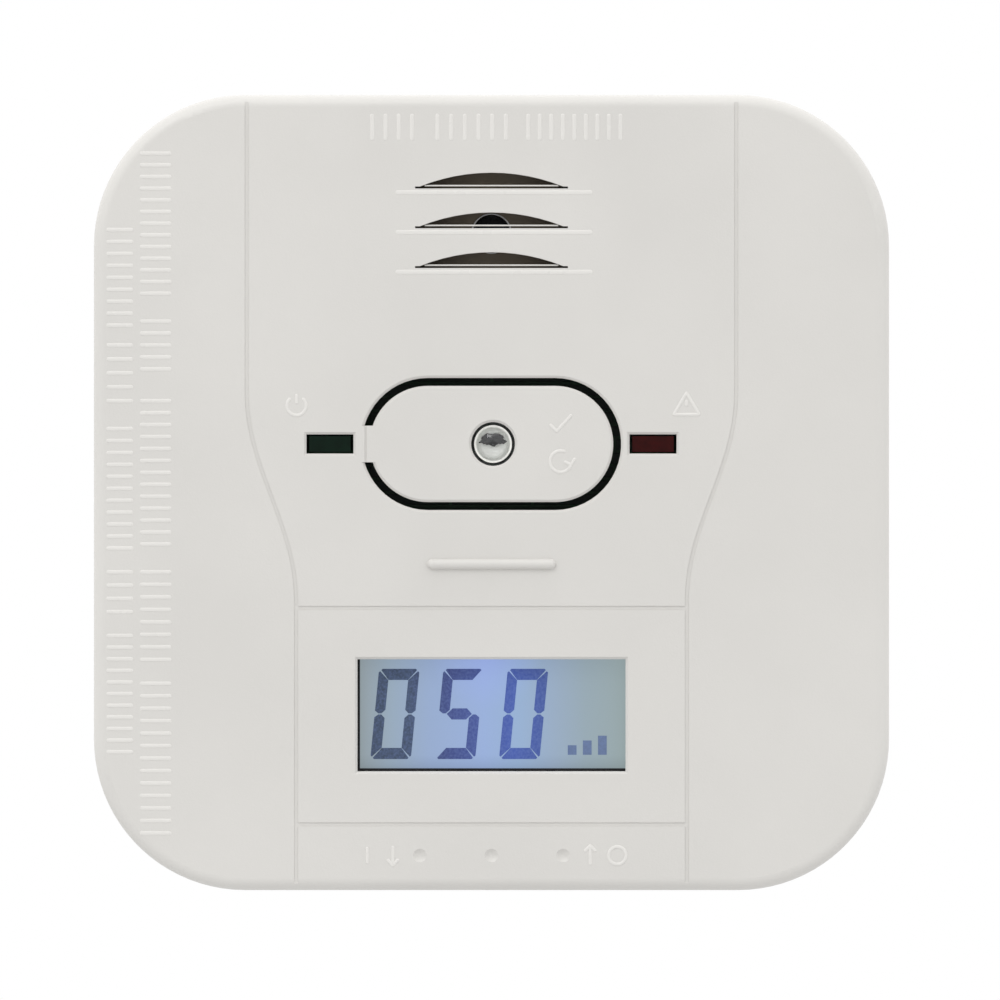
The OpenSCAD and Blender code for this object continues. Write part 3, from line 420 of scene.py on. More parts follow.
def displayFilm(name):
    # the film's emission paints the backlight's glow, strongest where the lamp stands behind it, and a
    # painted shadow darkens it towards its lower edge
    made, tree, shader, place = newMaterial(name)
    base, parts = acrossDisplay(tree, place, litFilm["stops"])
    gap = tree.nodes.new("ShaderNodeVectorMath")
    gap.operation = "DISTANCE"
    gap.inputs[1].default_value = ((displayMid[0] + litFilm["glowAt"][0]) * mm, displayLow[1] * mm,
                                   (displayMid[2] + litFilm["glowAt"][1]) * mm)
    tree.links.new(place, gap.inputs[0])
    near = remap(tree, gap.outputs["Value"], litFilm["glowShare"], 0.0, 0.0, litFilm["glowSize"] * mm)
    colour = mixColours(tree, near, base, litFilm["glow"])
    # painted shadow: the film dims towards its lower edge
    shadeEnds = [(displayMid[2] + litFilm[end]) * mm for end in ("shadeFrom", "shadeTo")]
    low = remap(tree, parts.outputs["Z"], litFilm["shade"], 1.0, *shadeEnds)
    dim = tree.nodes.new("ShaderNodeVectorMath")
    dim.operation = "SCALE"
    tree.links.new(colour, dim.inputs[0])
    tree.links.new(low, dim.inputs["Scale"])
    fibres = addNoise(tree, place, 0.18, 3.0)
    body = tree.nodes.new("ShaderNodeVectorMath")
    body.operation = "SCALE"
    body.inputs["Scale"].default_value = litFilm["body"]
    tree.links.new(dim.outputs[0], body.inputs[0])
    tree.links.new(body.outputs[0], shader.inputs["Base Color"])
    tree.links.new(dim.outputs[0], shader.inputs["Emission Color"])
    shader.inputs["Emission Strength"].default_value = litFilm["lit"]
    shader.inputs["Roughness"].default_value = 0.3
    shader.inputs["Specular IOR Level"].default_value = 0.4
    addBump(tree, shader, [(fibres, 1.0)], 0.004)
    return made


def inkedSegmentsPaintedBacklight(name, stops, lit=0.25):
    # dark segments whose colour and emission paint the backlight showing through them, as it changes across
    # the display
    made, tree, shader, place = newMaterial(name)
    base = acrossDisplay(tree, place, stops)[0]
    grain = addNoise(tree, place, 0.3, 2.0)
    tint = mixColours(tree, remap(tree, grain, 0, 0.25), base, srgb(110, 130, 180))
    tree.links.new(tint, shader.inputs["Base Color"])
    tree.links.new(tint, shader.inputs["Emission Color"])
    shader.inputs["Emission Strength"].default_value = lit
    shader.inputs["Roughness"].default_value = 0.5
    shader.inputs["Specular IOR Level"].default_value = 0.2
    return made


def clearLens(name):
    made, tree, shader, place = newMaterial(name)
    ripple = addNoise(tree, place, 1.4, 1.0)
    shader.inputs["Base Color"].default_value = (0.93, 0.95, 0.96, 1)
    shader.inputs["Transmission Weight"].default_value = 1.0
    shader.inputs["Roughness"].default_value = 0.03
    shader.inputs["IOR"].default_value = 1.53
    addBump(tree, shader, [(ripple, 1.0)], 0.02)
    return made


def thinGlass(name):
    made, tree, shader, place = newMaterial(name)
    smear = addNoise(tree, place, 6.0, 2.0)
    tree.links.new(remap(tree, smear, 0.02, 0.1), shader.inputs["Roughness"])
    shader.inputs["Base Color"].default_value = (0.86, 0.93, 0.94, 1)
    shader.inputs["Transmission Weight"].default_value = 0.9
    shader.inputs["IOR"].default_value = 1.5
    return made


whiteFace = srgb(209, 207, 203)
looks = {
    "housing_plastic": mouldedPlastic("housing_plastic", whiteFace),
    "rear_plastic": mouldedPlastic("rear_plastic", srgb(207, 205, 201), 0.5, 0.35, 0.018),
    "bracket_plastic": mouldedPlastic("bracket_plastic", srgb(211, 209, 205), 0.5, 0.35, 0.018),
    "holder_plastic": mouldedPlastic("holder_plastic", srgb(226, 226, 222), 0.5),
    "black_plastic": mouldedPlastic("black_plastic", srgb(34, 34, 36), 0.4, 0.2, 0.01, 0.1),
    "sounder_plastic": mouldedPlastic("sounder_plastic", srgb(92, 83, 70), 0.55, 0.3, 0.02, 0.16),
    "chip_epoxy": mouldedPlastic("chip_epoxy", srgb(36, 36, 38), 0.55, 0.12, 0.01, 0.1),
    "ferrite": mouldedPlastic("ferrite", srgb(52, 52, 54), 0.6, 0.2, 0.03, 0.15),
    "zinc_steel": platedMetal("zinc_steel", srgb(190, 192, 198), 0.32),
    "nickel_plate": platedMetal("nickel_plate", srgb(206, 204, 198), 0.24, (1, 6, 1)),
    "tinned_wire": platedMetal("tinned_wire", srgb(202, 202, 204), 0.3, (1, 6, 1), 0.08),
    "sensor_steel": platedMetal("sensor_steel", srgb(196, 197, 199), 0.28, (1, 8, 1)),
    "brass_sheet": platedMetal("brass_sheet", srgb(200, 164, 92), 0.25, (8, 1, 1)),
    "copper_wire": platedMetal("copper_wire", srgb(176, 104, 52), 0.3, (1, 1, 1), 0.3, 0.05),
    "piezo_ceramic": platedMetal("piezo_ceramic", srgb(214, 208, 196), 0.5, (1, 1, 1), 0.1, 0.01),
    "chip_ceramic": mouldedPlastic("chip_ceramic", srgb(176, 148, 112), 0.45, 0.1, 0.01, 0.08),
    "black_foam": softRubber("black_foam", srgb(30, 30, 32)),
    "conductive_rubber": softRubber("conductive_rubber", srgb(120, 126, 132), 0.7, 0.12, 0.02),
    "red_insulation": mouldedPlastic("red_insulation", srgb(176, 34, 28), 0.35, 0.4, 0.01, 0.08),
    "black_insulation": mouldedPlastic("black_insulation", srgb(30, 30, 31), 0.35, 0.4, 0.01, 0.1),
    "capacitor_sleeve": mouldedPlastic("capacitor_sleeve", srgb(36, 44, 78), 0.25, 1.0, 0.01, 0.1),
    "solder_mask": boardMask("solder_mask"),
    "cell_sleeve": cellSleeve("cell_sleeve", 1),
    "green_epoxy": castEpoxy("green_epoxy", srgb(4, 24, 14)),
    "red_epoxy": castEpoxy("red_epoxy", srgb(46, 4, 3)),
    "lamp_epoxy": castEpoxy("lamp_epoxy", srgb(232, 236, 246)),
    "polariser_film": displayFilm("polariser_film"),
    "backlit_film": castEpoxy("backlit_film", srgb(150, 176, 216), 0.4, 0.05),
    "light_guide_acrylic": castEpoxy("light_guide_acrylic", srgb(190, 208, 240), 0.2, 0.04),
    "display_glass": thinGlass("display_glass"),
    "clear_epoxy": clearLens("clear_epoxy"),
}

slotOf = {part["node"]: part["material_slot"] for part in frame["record"]["subparts"]}
for nodeName, nodeObject in nodes.items():
    nodeObject.data.materials.clear()
    nodeObject.data.materials.append(looks[slotOf[nodeName]])
nodes["cell_middle"].data.materials[0] = cellSleeve("cell_sleeve_turned", -1)
print("materials:", len(looks))


def gridFaces(rows, columns, wrapRows=False, wrapColumns=False):
    # four-sided faces of a grid of points, counted row by row
    i = np.arange(rows if wrapRows else rows - 1)[:, None]
    j = np.arange(columns if wrapColumns else columns - 1)[None, :]
    nextI, nextJ = (i + 1) % rows, (j + 1) % columns
    corners = [i * columns + j, i * columns + nextJ, nextI * columns + nextJ, nextI * columns + j]
    return np.stack([np.broadcast_to(c, (i.size, j.size)) for c in corners], -1).reshape(-1, 4)


def cappedFaces(rows, columns):
    # a closed section carried along a path, with a flat face over each end
    ends = [list(range(columns)), list(range((rows - 1) * columns, rows * columns))]
    return [list(f) for f in gridFaces(rows, columns, False, True)] + ends


def joinMeshes(meshes):
    # several (points, faces) as one
    points, faces, start = [], [], 0
    for somePoints, someFaces in meshes:
        points.append(somePoints)
        faces += [[i + start for i in face] for face in someFaces]
        start += len(somePoints)
    return np.vstack(points), faces


def mergeDoubles(mesh):
    # poles and seams close, and the faces turn outwards
    work = bmesh.new()
    work.from_mesh(mesh)
    bmesh.ops.remove_doubles(work, verts=work.verts, dist=1e-8)
    bmesh.ops.dissolve_degenerate(work, edges=work.edges, dist=1e-9)
    bmesh.ops.recalc_face_normals(work, faces=work.faces)
    work.to_mesh(mesh)
    work.free()


def addPiece(name, points, faces, body, slotName, look=None, smooth=True):
    # points in millimetres
    mesh = bpy.data.meshes.new(name)
    mesh.from_pydata((np.asarray(points) * mm).tolist(), [], [list(map(int, f)) for f in faces])
    piece = bpy.data.objects.new(name, mesh)
    scene.collection.objects.link(piece)
    mergeDoubles(mesh)
    mesh.polygons.foreach_set("use_smooth", np.full(len(mesh.polygons), smooth))
    mesh.materials.append(look or looks[slotName])
    if body:
        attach(piece, body)
    return piece


def faceToSpace(flat, depth):
    # (x, z) on the front face and a depth that counts outwards from it, as points in space
    return np.stack([flat[..., 0], faceY - depth, flat[..., 1]], -1)


def evenPath(corners, step, closed=False):
    # points at even spacing along the straight runs between the corners
    corners = np.asarray(corners, float)
    if closed:
        corners = np.vstack([corners, corners[:1]])
    lengths = np.linalg.norm(np.diff(corners, axis=0), axis=1)
    run = np.concatenate([[0], np.cumsum(lengths)])
    count = max(3, int(run[-1] / step) + 1)
    at = np.linspace(0, run[-1], count)
    made = np.stack([np.interp(at, run, corners[:, k]) for k in (0, 1)], -1)
    return made[:-1] if closed else made


def arcPath(centre, radius, startDeg, endDeg, count=28):
    turn = np.radians(np.linspace(startDeg, endDeg, count))
    return np.stack([centre[0] + radius * np.cos(turn), centre[1] + radius * np.sin(turn)], -1)


# how the raised strokes are made
relief = {
    "sunk": 0.06,                         # how far they go into the plastic
    "sides": 10,
    "leastEnd": 0.02,                     # the share of the height that is left at the ends
    "iconStep": 0.06,                     # spacing of points along a stroke
    "ribStep": 0.08,
    "lipStep": 0.12,
}


def strokeMesh(path, width, height, closed=False):
    # a low ridge: half an ellipse carried along the path, shrinking to a point over its round ends
    path = np.asarray(path, float)
    if closed:
        ahead = np.roll(path, -1, 0) - np.roll(path, 1, 0)
        shrink = np.ones(len(path))
    else:
        ahead = np.gradient(path, axis=0)
        steps = np.concatenate([[0], np.cumsum(np.linalg.norm(np.diff(path, axis=0), axis=1))])
        end = np.minimum(steps, steps[-1] - steps)
        u = np.clip(end / (width / 2), 0, 1)
        shrink = np.sqrt(1 - (1 - u) ** 2)
    ahead /= np.linalg.norm(ahead, axis=1)[:, None]
    side = np.stack([ahead[:, 1], -ahead[:, 0]], -1)
    turn = np.linspace(0, math.pi, relief["sides"])
    across = np.concatenate([np.cos(turn), [-1, 1]]) * width / 2
    up = np.concatenate([np.sin(turn) * height, [-relief["sunk"]] * 2])
    flat = path[:, None, :] + side[:, None, :] * (across[None, :] * shrink[:, None])[..., None]
    depth = np.where(up > 0, up[None, :] * np.maximum(shrink, relief["leastEnd"])[:, None], up[None, :])
    points = faceToSpace(flat, depth)
    rows, columns = points.shape[:2]
    faces = gridFaces(rows, columns, True, True).tolist() if closed else cappedFaces(rows, columns)
    return points.reshape(-1, 3), faces


# the raised marks' plastic: glossier than the face from the polished mould, and painted a shade lighter, a
# painted highlight for the light their raised sides catch
markPlasticPaintedHighlight = mouldedPlastic("markPlastic_paintedHighlight", srgb(219, 217, 213), 0.3, 0.5, 0.004, 0.01)


def addStrokes(name, strokes, body, width, height):
    # strokes is a list of (path, closed); they become one piece, moulded against polished steel, in the
    # lighter plastic with its painted highlight
    points, faces = joinMeshes([strokeMesh(path, width, height, closed) for path, closed in strokes])
    addPiece(name, points, faces, body, "housing_plastic", markPlasticPaintedHighlight)


def addPlate(name, outline, nearDepth, farDepth, body, slotName, look=None):
    # an outline on the face as a thin flat plate between two depths
    outline = np.asarray(outline, float)
    count = len(outline)
    points = np.vstack([faceToSpace(outline, np.full(count, d)) for d in (farDepth, nearDepth)])
    addPiece(name, points, cappedFaces(2, count), body, slotName, look, smooth=False)


def addRevolved(name, profile, centre, body, slotName, look=None, sides=64):
    # a profile of (radius, depth from the face) turned about an axis that runs into the wall
    profile = np.asarray(profile, float)
    turn = np.linspace(0, 2 * math.pi, sides, endpoint=False)
    radius = profile[:, 0:1]
    flat = np.stack([centre[0] + radius * np.cos(turn), centre[1] + radius * np.sin(turn)], -1)
    points = faceToSpace(flat, np.repeat(profile[:, 1:2], sides, 1))
    closed = bool(np.allclose(profile[0], profile[-1]))
    if closed:
        points = points[:-1]
    faces = gridFaces(len(points), sides, closed, True)
    addPiece(name, points.reshape(-1, 3), faces, body, slotName, look)


figures = {
    "shown": "050",
    "height": 11.35,
    "width": 5.1,
    "slant": 0.098,
    "pitch": 8.1,
    "firstX": -12.15,
    "middleZ": 0.14,                      # above the display's middle
    "thick": 1.3,                         # upright strokes
    "thickFlat": 1.4,                     # level strokes
    "gap": 0.14,                          # between two strokes
    "corner": 0.46,                       # how far the outer corners are cut off
    "nib": (0.35, 0.45),                  # how far a stroke's point at the middle slopes, outside and inside
    "lift": 0.02,                         # in front of the film
    "filmThick": 0.03,
}
# the strokes that each figure shows: a to f clockwise from the top, and g across the middle
segmentSets = {"0": "abcdef", "5": "afgcd"}


def segmentOutlines(figure):
    # the seven strokes of a figure about its middle, mitred where they meet, as lists of corners
    f = figures
    x, z, t, s = f["width"] / 2, f["height"] / 2, f["thick"], f["thickFlat"]
    g = f["gap"] / 2
    c, h = f["corner"], f["corner"] / 2
    outside, inside = f["nib"]
    top = [(-x + c, z), (x - c, z), (x - h - g, z - h + g), (x - t - g * 0.2, z - s),
           (-x + t + g * 0.2, z - s), (-x + h + g, z - h + g)]
    upper = [(x, z - c), (x, g + outside), (x - t * 0.35, g), (x - t * 0.65, g), (x - t, g + inside),
             (x - t, z - s - g * 0.4), (x - h + g, z - h - g)]
    middle = [(-x + t * 0.75, 0), (-x + t + outside, s / 2), (x - t - outside, s / 2), (x - t * 0.75, 0),
              (x - t - outside, -s / 2), (-x + t + outside, -s / 2)]
    strokes = {
        "a": top,
        "b": upper,
        "c": [(p, -q) for p, q in upper],
        "d": [(p, -q) for p, q in top],
        "e": [(-p, -q) for p, q in upper],
        "f": [(-p, q) for p, q in upper],
        "g": middle,
    }
    return [np.array(strokes[name]) for name in segmentSets[figure]]


# the segments' tone across the display with the painted backlight in it: greyer at the ends and bluest in
# the middle
figureInkPaintedBacklight = inkedSegmentsPaintedBacklight("figureInkPaintedBacklight", [
    (0.0, srgb(54, 64, 78)), (0.2, srgb(56, 68, 88)), (0.34, srgb(54, 64, 114)),
    (0.45, srgb(60, 74, 132)), (0.58, srgb(62, 82, 152)), (0.7, srgb(60, 78, 138)),
    (0.8, srgb(88, 104, 134)), (1.0, srgb(92, 106, 134)),
])
filmDepth = faceY - displayLow[1]         # the film lies behind the face, so this depth is negative
inkBack = filmDepth + figures["lift"]
inkFront = inkBack + figures["filmThick"]
for place, figure in enumerate(figures["shown"]):
    middle = np.array([figures["firstX"] + place * figures["pitch"], displayMid[2] + figures["middleZ"]])
    for number, outline in enumerate(segmentOutlines(figure)):
        slanted = outline + np.stack([outline[:, 1] * figures["slant"], np.zeros(len(outline))], -1)
        addPlate(f"figure_{place}_{number}", slanted + middle, inkBack, inkFront, "housing",
                 "polariser_film", figureInkPaintedBacklight)

# a small generic unit mark: three upright bars, each a little taller
unitMark = {"x": 9.6, "low": -5.0, "bar": 1.1, "pitch": 1.9, "heights": (1.2, 1.8, 2.4)}
for number, tall in enumerate(unitMark["heights"]):
    left = unitMark["x"] + number * unitMark["pitch"]
    right = left + unitMark["bar"]
    low = displayMid[2] + unitMark["low"]
    corners = [(left, low), (right, low), (right, low + tall), (left, low + tall)]
    addPlate(f"unit_bar_{number}", corners, inkBack, inkFront, "housing", "polariser_film", figureInkPaintedBacklight)
print("display figures made")


# raised marks on the front: plain ribs in groups, from the first rib's place to the last one's
marks = {
    "ribWidth": 0.5,
    "ribHeight": 0.055,
    "ribPitch": 1.45,
    "topRow": {"z": 45.9, "tall": 3.4, "groups": [(-15.0, -10.0), (-6.8, 1.8), (4.6, 16.2)]},
    "leftColumns": [
        {"x": -46.7, "long": 3.4,
         "groups": [(33.0, 21.0), (18.5, 11.5), (8.0, -7.0), (-10.0, -15.0), (-18.0, -32.6)]},
        {"x": -42.2, "long": 4.0,
         "groups": [(42.6, 25.0), (21.5, 15.5), (11.5, -6.5), (-10.0, -21.0), (-24.0, -42.8)]},
    ],
    "iconWidth": 0.4,
    "iconHeight": 0.08,
    "iconZ": 10.9,                        # over the two lights
    "iconX": 24.5,
    "dotRowZ": -45.6,                     # the row of dimples
    "arrowX": 12.4,
    "arrowHalf": 1.25,
    "arrowBarb": (0.75, 0.45),            # half as wide as the arrow's head, and where the head starts
}


def ribRow(start, end):
    count = max(2, int(abs(end - start) / marks["ribPitch"]) + 1)
    return np.linspace(start, end, count)


ribs = []
row = marks["topRow"]
for start, end in row["groups"]:
    for x in ribRow(start, end):
        ends = [(x, row["z"] - row["tall"] / 2), (x, row["z"] + row["tall"] / 2)]
        ribs.append((evenPath(ends, relief["ribStep"]), False))
for column in marks["leftColumns"]:
    for start, end in column["groups"]:
        for z in ribRow(start, end):
            ends = [(column["x"] - column["long"] / 2, z), (column["x"] + column["long"] / 2, z)]
            ribs.append((evenPath(ends, relief["ribStep"]), False))
addStrokes("grip_ribs", ribs, "housing", marks["ribWidth"], marks["ribHeight"])


def openLine(corners):
    return (evenPath(corners, relief["iconStep"]), False)


def arrow(x, z, up):
    # up is 1 or -1
    tip = (x, z + marks["arrowHalf"] * up)
    wide, start = marks["arrowBarb"]
    shaft = openLine([(x, z - marks["arrowHalf"] * up), tip])
    head = openLine([(x - wide, z + start * up), tip, (x + wide, z + start * up)])
    return [shaft, head]


# beside the dimples: a bar and an arrow down, and an arrow up and a ring
z = marks["dotRowZ"]
slideMarks = arrow(-marks["arrowX"], z, -1) + arrow(marks["arrowX"], z, 1)
slideMarks.append(openLine([(-15.6, z - 1.1), (-15.6, z + 1.1)]))
slideMarks.append((arcPath((15.8, z), 1.1, 0, 360, 49)[:-1], True))
addStrokes("slide_marks", slideMarks, "housing", marks["iconWidth"], marks["iconHeight"])

# over the lights: an open ring with a stroke, and a triangle with a stroke
x, z = marks["iconX"], marks["iconZ"]
powerMark = [(arcPath((-x, z), 1.2, 125, 415, 40), False), openLine([(-x, z + 0.2), (-x, z + 1.5)])]
triangle = [(x - 1.6, z - 1.1), (x + 1.6, z - 1.1), (x, z + 1.6)]
alertMark = [(evenPath(triangle, relief["ribStep"], True), True), openLine([(x, z - 0.1), (x, z + 0.75)])]
addStrokes("light_marks", powerMark + alertMark, "housing", marks["iconWidth"], marks["iconHeight"])

# on the button: a tick, and an open ring with an arrow's head
tickMark = [openLine([(7.3, 8.6), (8.2, 7.7), (10.1, 9.8)])]
loopMark = [(arcPath((8.7, 3.9), 1.35, 60, 345, 40), False),
            openLine([(9.1, 3.9), (10.0, 3.5), (10.55, 4.35)])]
addStrokes("button_marks", tickMark + loopMark, "button", marks["iconWidth"], marks["iconHeight"])
print("raised marks made")


web = {"gap": 0.3, "groove": 0.1, "crown": 0.04, "rows": 9, "crestSteps": 7}


def addHingeWeb():
    # the moulded hinge's section, a T whose stem fills the slit up to a shallow groove, carried up the neck;
    # the groove's floor is deeper in its middle by the crown times one less the square of x over the stem
    stem, wide = web["gap"] / 2, (webHigh[0] - webLow[0]) / 2
    near = faceY - webLow[1]              # depths of the web's front and rear sides
    far = faceY - webHigh[1]
    bottom = np.linspace(-wide, wide, 2 * web["crestSteps"])
    crest = np.linspace(stem, -stem, web["crestSteps"])
    section = np.vstack([
        np.stack([bottom, np.full(len(bottom), far)], -1),
        [(wide, near), (stem, near)],
        np.stack([crest, -web["groove"] - web["crown"] * (1 - (crest / stem) ** 2)], -1),
        [(-stem, near), (-wide, near)],
    ])
    ups = np.linspace(webLow[2], webHigh[2], web["rows"])
    flat = np.stack(np.broadcast_arrays(hingeX + section[None, :, 0], ups[:, None]), -1)
    points = faceToSpace(flat, np.repeat(section[None, :, 1], len(ups), 0))
    faces = cappedFaces(len(ups), len(section))
    piece = addPiece("hinge_web", points.reshape(-1, 3), faces, None, "housing_plastic", smooth=False)
    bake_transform(piece)
    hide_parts("button_hinge_web")


addHingeWeb()


# inside the clear light
lamp = {
    "bowl": 2.38,                         # radius of the silvered bowl
    "bowlDeep": 0.7,
    "bowlThick": 0.25,
    "front": 1.0,                         # how far the bowl lies behind the dome's tip
    "dieAndShade": (1.35, 0.62),                  # the dark blob: the die and its wires, and the painted shadow around them; half sizes across and up
    "dieAndShadeAt": (-0.05, 0.5),                # from the light's middle
    "dieAndShadeBehind": 0.42,                    # behind the bowl's rim
    "dieAndShadeThick": 0.3,
    "dieAndShadeDroop": 0.12,
    "dieAndShadeGrid": (25, 48),
    "post": 0.34,
    "postTip": 0.1,
    "postLong": 5.0,
    "posts": {"lamp_post_left": -1.0, "lamp_post_right": 1.0},
}


def addLampInside():
    cx, cz = clearMid[0], clearMid[2]
    rim = faceY - clearLow[1] - lamp["front"]
    r, deep = lamp["bowl"], lamp["bowlDeep"]
    # the bowl: its depth falls with the square of the radius, and its back follows at one thickness
    u = np.linspace(0, 1, 14)
    inner = np.stack([r * u, rim - deep * (1 - u ** 2)], -1)
    outer = inner[::-1] - [0, lamp["bowlThick"]]
    addRevolved("lamp_bowl", np.vstack([inner, outer]), (cx, cz), "housing", "tinned_wire", frosted)
    top = rim - deep
    foot = top - lamp["postLong"]
    post = [(0, foot), (lamp["post"], foot), (lamp["post"], top - lamp["postTip"]), (0, top)]
    for name, side in lamp["posts"].items():
        addRevolved(name, post, (cx + side, cz), "housing", "tinned_wire", sides=24)
    # the die with its bond wires and the painted shadow round them, as one dark blob: an egg whose radius
    # swells and shrinks with the sum of three sines
    rows, columns = lamp["dieAndShadeGrid"]
    v = np.linspace(0, math.pi, rows)[:, None]
    w = np.linspace(0, 2 * math.pi, columns, endpoint=False)[None, :]
    swell = 0.13 * np.sin(5 * w + 2 * v) + 0.09 * np.sin(9 * w - 3 * v + 1) + 0.06 * np.sin(13 * w + 5 * v)
    lumps = 1 + swell * np.sin(v) ** 2
    wide, tall = lamp["dieAndShade"]
    x = cx + lamp["dieAndShadeAt"][0] + wide * lumps * np.sin(v) * np.cos(w)
    droop = lamp["dieAndShadeDroop"] * ((x - cx) / wide) ** 2
    z = cz + lamp["dieAndShadeAt"][1] + tall * lumps * np.sin(v) * np.sin(w) - droop
    depth = rim - lamp["dieAndShadeBehind"] + lamp["dieAndShadeThick"] * lumps * np.cos(v)
    points = faceToSpace(np.stack([x, z], -1), depth).reshape(-1, 3)
    addPiece("lamp_die_and_shade", points, gridFaces(rows, columns, False, True), "housing", "black_plastic")


frosted = mouldedPlastic("frostedSilver", srgb(248, 248, 242), 0.3, 0.35, 0.06, 0.05)
addLampInside()


# the sound hole's ring and screen, and the three louvres
throat = {
    "radius": 2.35,
    "rim": 0.11,
    "rimFlat": 0.8,                       # how high the ring stands for its width
    "screenBehind": 0.9,
    "screenThick": 0.2,
    "screenGap": 0.02,
    "weave": 0.32,
    "weaveHeight": 0.05,
}
louvres = {
    "lowest": 28.2,                       # the lowest louvre's base line
    "pitch": 5.0,
    "count": 3,
    "slatAt": 0.36,                       # the slat's middle above the base line
    "slatHalf": 0.1,
    "slatBehind": 0.3,
    "slatDeep": 0.9,
    "slatLong": 8.4,
    "lipLong": (-12.1, 12.7),
    "lipAt": -0.5,
    "lipWidth": 0.55,
    "lipHeight": 0.05,
}


def addThroat():
    # a thin rolled ring round the sound hole, and a woven dust screen across it
    depth = faceY - caseLow[1]
    turn = np.linspace(0, 2 * math.pi, 17)
    r = throat["rim"]
    across = throat["radius"] + r + r * np.cos(turn)
    profile = np.stack([across, depth + r * throat["rimFlat"] * np.sin(turn)], -1)
    addRevolved("throat_rim", profile, (caseMid[0], caseMid[2]), "housing", "tinned_wire")
    # the screen: its front waves as the product of two sines, one across and one up
    radii = np.linspace(0, throat["radius"] - throat["screenGap"], 15)
    angles = np.linspace(0, 2 * math.pi, 72, endpoint=False)
    x = radii[:, None] * np.cos(angles)
    z = radii[:, None] * np.sin(angles)
    waves = np.sin(2 * math.pi * x / throat["weave"]) * np.sin(2 * math.pi * z / throat["weave"])
    flat = np.stack([caseMid[0] + x, caseMid[2] + z], -1)
    middle = depth - throat["screenBehind"]
    front = faceToSpace(flat, middle + throat["weaveHeight"] * waves)
    back = faceToSpace(flat[::-1], np.full(x.shape, middle - throat["screenThick"]))
    points = np.concatenate([front, back])
    addPiece("dust_screen", points.reshape(-1, 3), gridFaces(len(points), len(angles), False, True),
             "housing", "black_foam")


def addLouvreSlats():
    # a thin slat across each louvre just above its lower slit: a half-round nose in front, flat behind
    turn = np.linspace(math.pi / 2, -math.pi / 2, 9)
    half = louvres["slatHalf"]
    upward = np.concatenate([half * np.sin(turn), [-half, half]])
    outward = np.concatenate([half * np.cos(turn) - louvres["slatBehind"], [-louvres["slatDeep"]] * 2])
    along = np.linspace(-louvres["slatLong"], louvres["slatLong"], 12)
    for i in range(louvres["count"]):
        z = louvres["lowest"] + i * louvres["pitch"] + louvres["slatAt"]
        flat = np.stack(np.broadcast_arrays(along[:, None], z + upward[None, :]), -1)
        points = faceToSpace(flat, np.repeat(outward[None, :], len(along), 0)).reshape(-1, 3)
        faces = cappedFaces(len(along), len(upward))
        addPiece(f"louvre_slat_{i}", points, faces, "housing", "housing_plastic", smooth=False)


addThroat()
addLouvreSlats()
lips = []
for i in range(louvres["count"]):
    z = louvres["lowest"] + i * louvres["pitch"] + louvres["lipAt"]
    lips.append((evenPath([(x, z) for x in louvres["lipLong"]], relief["lipStep"]), False))
addStrokes("louvre_lips", lips, "housing", louvres["lipWidth"], louvres["lipHeight"])
print("button and sounder pieces made")


# the cells' contact springs: wire and coil radii
spring = {"wire": 0.36, "turns": 3.5, "wide": 4.4, "narrow": 2.2, "sides": 12, "rings": 180}


def tubeAlong(path, radius, sides):
    # a round section carried along a path, across the local direction, with a flat face at each end
    ahead = np.gradient(path, axis=0)
    ahead /= np.linalg.norm(ahead, axis=1)[:, None]
    first = np.cross(ahead, (1.0, 0.0, 0.0))
    first /= np.linalg.norm(first, axis=1)[:, None]
    second = np.cross(ahead, first)
    turn = np.linspace(0, 2 * math.pi, sides, endpoint=False)
    ring = np.cos(turn)[None, :, None] * first[:, None] + np.sin(turn)[None, :, None] * second[:, None]
    points = path[:, None] + ring * radius
    return points.reshape(-1, 3), cappedFaces(len(path), sides)


def springPath(cellName, side):
    # a coil from the tray's wall to the cell, whose radius shrinks evenly; side is 1 where it is on the left
    low, high = boxMm("contact_springs")
    cellLow, cellHigh = boxMm(cellName)
    middle = (cellLow + cellHigh) / 2
    wall, end = (low[0], cellLow[0]) if side == 1 else (high[0], cellHigh[0])
    inset = spring["wire"] * side
    u = np.linspace(0, 1, spring["rings"])
    x = (wall + inset) + (end - wall - 2 * inset) * u
    r = spring["wide"] + (spring["narrow"] - spring["wide"]) * u
    turn = 2 * math.pi * spring["turns"] * u
    return np.stack([x, middle[1] + r * np.sin(turn), middle[2] + r * np.cos(turn)], -1)


def addSprings():
    paths = [springPath("cell_top", 1), springPath("cell_middle", -1), springPath("cell_bottom", 1)]
    points, faces = joinMeshes([tubeAlong(path, spring["wire"], spring["sides"]) for path in paths])
    piece = addPiece("coil_springs", points, faces, "housing", "nickel_plate")
    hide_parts("contact_springs")


addSprings()
print("springs made")


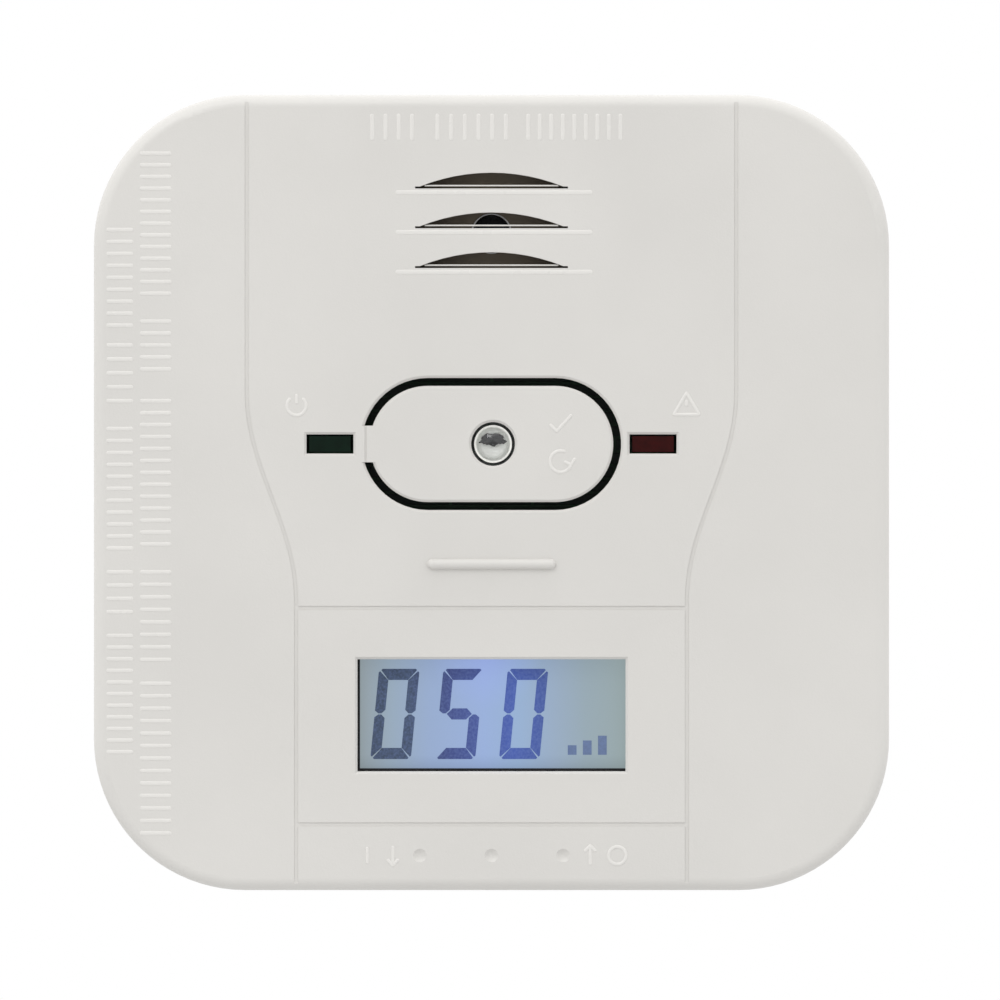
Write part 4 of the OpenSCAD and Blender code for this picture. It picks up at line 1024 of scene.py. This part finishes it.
# on the battery door: a blank label with plain lines, and three arrow heads
rear = {
    "labelSize": (40.0, 15.0),
    "labelAt": (0.0, -14.5),
    "labelRound": 1.6,
    "labelThick": 0.12,
    "labelSunk": 0.02,
    # each line's share of the label's width, and its place above the label's middle
    "lines": ((0.8, 4.2), (0.8, 1.8), (0.56, -0.6), (0.68, -3.0)),
    "lineTrim": 4.0,
    "lineMargin": 3.0,
    "lineTall": 0.7,
    "lineRound": 0.3,
    "lineSunk": 0.04,
    "lineThick": 0.05,
    "arrowZ": 5.2,
    "arrowCount": 3,
    "arrowHalf": 2.2,
    "arrowRise": 1.3,
    "arrowPitch": 1.5,
    "arrowWidth": 0.5,
    "arrowHeight": 0.18,
}
labelPaper = mouldedPlastic("labelPaper", srgb(222, 223, 222), 0.55, 0.15, 0.006, 0.015)
labelInk = mouldedPlastic("labelInk", srgb(150, 152, 156), 0.6, 0.15, 0.004, 0.03)


def roundedOutline(centre, size, radius, count=8):
    # a rectangle with round corners, one quarter turn to a corner
    corners = []
    for k, (sx, sz) in enumerate(((1, 1), (-1, 1), (-1, -1), (1, -1))):
        middle = (centre[0] + sx * (size[0] / 2 - radius), centre[1] + sz * (size[1] / 2 - radius))
        corners.append(arcPath(middle, radius, 90 * k, 90 * k + 90, count))
    return np.vstack(corners)


def addDoorPlate(name, outline, near, thick, look):
    # a thin plate that lies on the door's rear face and faces the wall
    addPlate(name, outline, near, near - thick, "door", "rear_plastic", look)


def addLabel():
    depth = faceY - doorBack + rear["labelSunk"]
    outline = roundedOutline(rear["labelAt"], rear["labelSize"], rear["labelRound"])
    addDoorPlate("blank_label", outline, depth, rear["labelThick"], labelPaper)
    lineDepth = faceY - doorBack - rear["labelThick"] + rear["lineSunk"]
    for number, (share, up) in enumerate(rear["lines"]):
        wide = rear["labelSize"][0] * share - rear["lineTrim"]
        middle = (rear["labelSize"][0] / 2 - rear["lineMargin"] - wide / 2, rear["labelAt"][1] + up)
        bar = roundedOutline(middle, (wide, rear["lineTall"]), rear["lineRound"], 4)
        addDoorPlate(f"label_line_{number}", bar, lineDepth, rear["lineThick"], labelInk)


def addDoorArrows():
    # the same low ridges as on the front, turned round to stand on the door's rear face
    half = rear["arrowHalf"]
    strokes = []
    for i in range(rear["arrowCount"]):
        z = rear["arrowZ"] + i * rear["arrowPitch"]
        top = z + rear["arrowRise"]
        path = evenPath([(-half, top), (0, z), (half, top)], relief["ribStep"])
        strokes.append(strokeMesh(path, rear["arrowWidth"], rear["arrowHeight"]))
    points, faces = joinMeshes(strokes)
    points[:, 1] = doorBack + faceY - points[:, 1]
    addPiece("door_arrows", points, faces, "door", "rear_plastic")


addLabel()
addDoorArrows()
print("back made")
